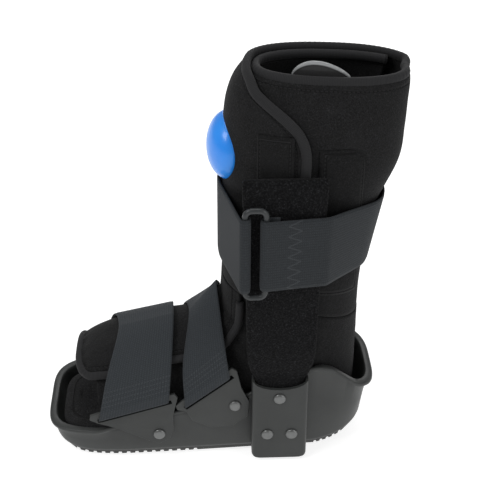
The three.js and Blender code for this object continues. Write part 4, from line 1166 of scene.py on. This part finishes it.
wings = {
    "front": {
        "low": ((-0.785, 43.5), (-0.475, 59)), "lean": ((0.3, 1), (0.1, 1)),
        "slack": 2.3, "wide": 58, "bow": 3,
    },
    "instep": {
        "low": ((-0.41, 52.5), (-0.212, 80)), "lean": ((0.07, 1), (-0.15, 1)),
        "slack": 1.3, "wide": 45, "bow": 5,
    },
}
wingBar = 5
wingThick = 2.2


def footStrap(name, wing, look):
    lows = [np.array([p[0] * toeReach, p[1]]) for p in wing["low"]]
    slotRun = lows[1] - lows[0]
    slotLong = np.linalg.norm(slotRun)
    slotRun = slotRun / slotLong
    trim = max(0.7, (slotLong - wing["wide"]) / 2)
    edges = []
    for which, inwards in ((0, trim), (1, -trim)):
        low = lows[which] + slotRun * inwards
        lean = np.array(wing["lean"][which], float)
        lean /= np.linalg.norm(lean)
        around = np.linspace(-0.21, 0.21, 81)
        lift = web / 2 + np.where(around > 0, outerBind + bindThick + webClear, layer) + wing["slack"]

        def offPlane(row):
            p = linerOffset(row, around, lift)
            return (p[..., 0] - low[0]) * lean[1] - (p[..., 2] - low[1]) * lean[0]

        row = findZero(offPlane, np.full(around.shape, 8.2), np.full(around.shape, toeRow - 0.05))
        p = linerOffset(row, around, lift)
        over = np.stack([p[:, 1], (p[:, 0] - low[0]) * lean[0] + (p[:, 2] - low[1]) * lean[1]], 1)
        over = [tuple(q) for q in over if q[1] > wingBar]
        inner = float(sideHalf(low[0])) + 0.5
        outside = inner + wingThick + webClear + web / 2
        inside = inner - webClear - web / 2
        clear = wingBar + 3.5
        chain = hullOf([*over, (-outside, 0.5), (outside, 0.5), (-outside, clear), (outside, clear)])
        start = next(i for i, q in enumerate(chain) if q[0] < 0 and abs(q[1] - 0.5) < 1e-6)
        turned = chain[start:] + chain[:start]
        if turned[1][0] > 0 and abs(turned[1][1] - 0.5) < 1e-6:
            turned = [turned[0], *turned[1:][::-1]]
        upper = spaced(turned, 90)
        under = -webClear - web / 2
        middle = (outside + inside) / 2

        def fold(side):
            return [
                (side * inside, wingBar + 7), (side * inside, 1), (side * (inside + 0.6), under * 0.75),
                (side * middle, under * 1.02), (side * (outside - 0.6), under * 0.75),
            ]

        path = smoothPath(np.array([*fold(-1), *map(tuple, upper), *fold(1)[::-1]]), 2)
        outer, innerLine = shifted(path, web / 2), shifted(path, -web / 2)
        place = lambda q: np.stack([low[0] + q[:, 1] * lean[0], q[:, 0], low[1] + q[:, 1] * lean[1]], 1)
        edges.append((place(outer), place(innerLine)))
    return band(
        name, edges[0][0], edges[1][0], edges[0][1], edges[1][1], look, name.replace("_webbing", ""),
        wing["bow"],
    )


low, high = (0.015, 0.0175, 0.02), (0.038, 0.0435, 0.049)
footStrap("front_strap_webbing", wings["front"], lambda n: webbingMaterial(
    "front_webbing", [(0.024, 0.04, "rows"), (n - 0.04, n - 0.024, "rows")], low, high))
footStrap("instep_strap_webbing", wings["instep"], lambda n: webbingMaterial(
    "instep_webbing", [(0.024, 0.039, "rows"), (n - 0.039, n - 0.024, "rows")], low, high))

calfTop = [(0, 0.5), (0.12, 0.48), (0.32, 0.36), (0.5, 0.42), (0.72, 0.5), (0.86, 0.56), (1, 0.52)]
calfLow = [(0, -0.5), (0.12, -0.5), (0.32, -0.62), (0.5, -0.55), (0.72, -0.54), (0.86, -0.55), (1, -0.53)]
barFront, barRear = ringX - ringWide / 2, ringX + ringWide / 2


def wayAt(around):
    behind = lerp(0.05, 0.32, (around - 0.25) / 0.25)
    right = lerp(0.9, 0.32, -around / 0.5)
    left = lerp(0.9, 1, around / 0.25)
    return np.where(around > 0.25, behind, np.where(around < 0, right, left))


def calfHeight(rows, way):
    spread = [lookUp(rows, np.clip(way + d, 0, 1)) for d in (-0.03, 0, 0.03)]
    return calfMiddle + calfStrapWide * sum(spread) / 3


def aroundBar(bar, degrees):
    angle = math.radians(degrees)
    return (bar + barLoop * math.cos(angle), -barY + barLoop * math.sin(angle))


def calfEdge(rows):
    bodySteps = 76
    around = np.linspace(-0.5, 0.5, 121)
    onPatch = gap + patchThick + 0.6 + web / 2
    onFlap = np.where(around < 0, legLift(around), layer) + 1.8 + web / 2
    lift = np.where(around > 0.25, onPatch, np.maximum(onPatch, onFlap))
    row = rowAtHeight(around, calfHeight(rows, wayAt(around)))
    leg = linerOffset(row, around, lift)[:, :2]
    wide = coverHalf + gap
    face = coverInner + coverThick + strapClear + web / 2
    corners = [(-wide, -face), (wide, -face), (-wide, face), (wide, face)]
    rear, front = aroundBar(barRear, 270), aroundBar(barFront, 180)
    chain = hullOf([*map(tuple, leg), *corners, rear, front])
    start = chain.index(rear)
    turned = chain[start:] + chain[:start]
    body = spaced(turned[: turned.index(front) + 1], bodySteps)
    tail = (barRear + 10, aroundBar(barRear, 90)[1])
    rearFold = [tail, *(aroundBar(barRear, d) for d in (90, 120, 150, 180, 210, 240))]
    frontFold = [aroundBar(barFront, d) for d in (210, 240, 270, 300, 330, 360, 390, 420, 440)]
    path = np.array([*rearFold, *map(tuple, body), *frontFold])
    way = np.clip((np.arange(len(path)) - len(rearFold)) / bodySteps, 0, 1)
    height = calfHeight(rows, way)
    full = smoothPath(np.column_stack([path, height]), 2)
    lines = []
    for offset in (web / 2, -web / 2):
        flat = shifted(full[:, :2], offset)
        lines.append(np.column_stack([flat, full[:, 2]]))
    return lines


topLines, lowLines = calfEdge(calfTop), calfEdge(calfLow)
# The calf strap's webbing is the foot straps' webbing painted about 0.6 times as dark: painted shade.
band(
    "calf_strap_webbing", topLines[0], lowLines[0], topLines[1], lowLines[1],
    lambda n: webbingMaterial(
        "calf_webbing_shaded", [(0.039, 0.049, "zigzag")], (0.0095, 0.011, 0.0125), (0.025, 0.0285, 0.032)),
    "calf_strap",
)
print("straps made")

# Ring
ringRings = []
cornerSize = 5
halfHigh = 0.54 * calfStrapWide + cornerSize
for quarter, (sx, sz) in enumerate([(1, 1), (-1, 1), (-1, -1), (1, -1)]):
    for i in range(9):
        angle = (quarter + i / 8) * math.pi / 2
        cos, sin = math.cos(angle), math.sin(angle)
        bar = (np.arange(20) + 0.5) / 20 * 2 * np.pi
        reach = cornerSize + ringBar * np.cos(bar)
        ringRings.append(np.stack([
            ringX + sx * (ringWide / 2 - cornerSize) + reach * cos,
            -barY + ringBar * np.sin(bar),
            calfMiddle + sz * (halfHigh - cornerSize) + reach * sin,
        ], 1))
dress(loft("ring_loop", ringRings, closed=True), "ring", "ring", "ring")
print("ring made")
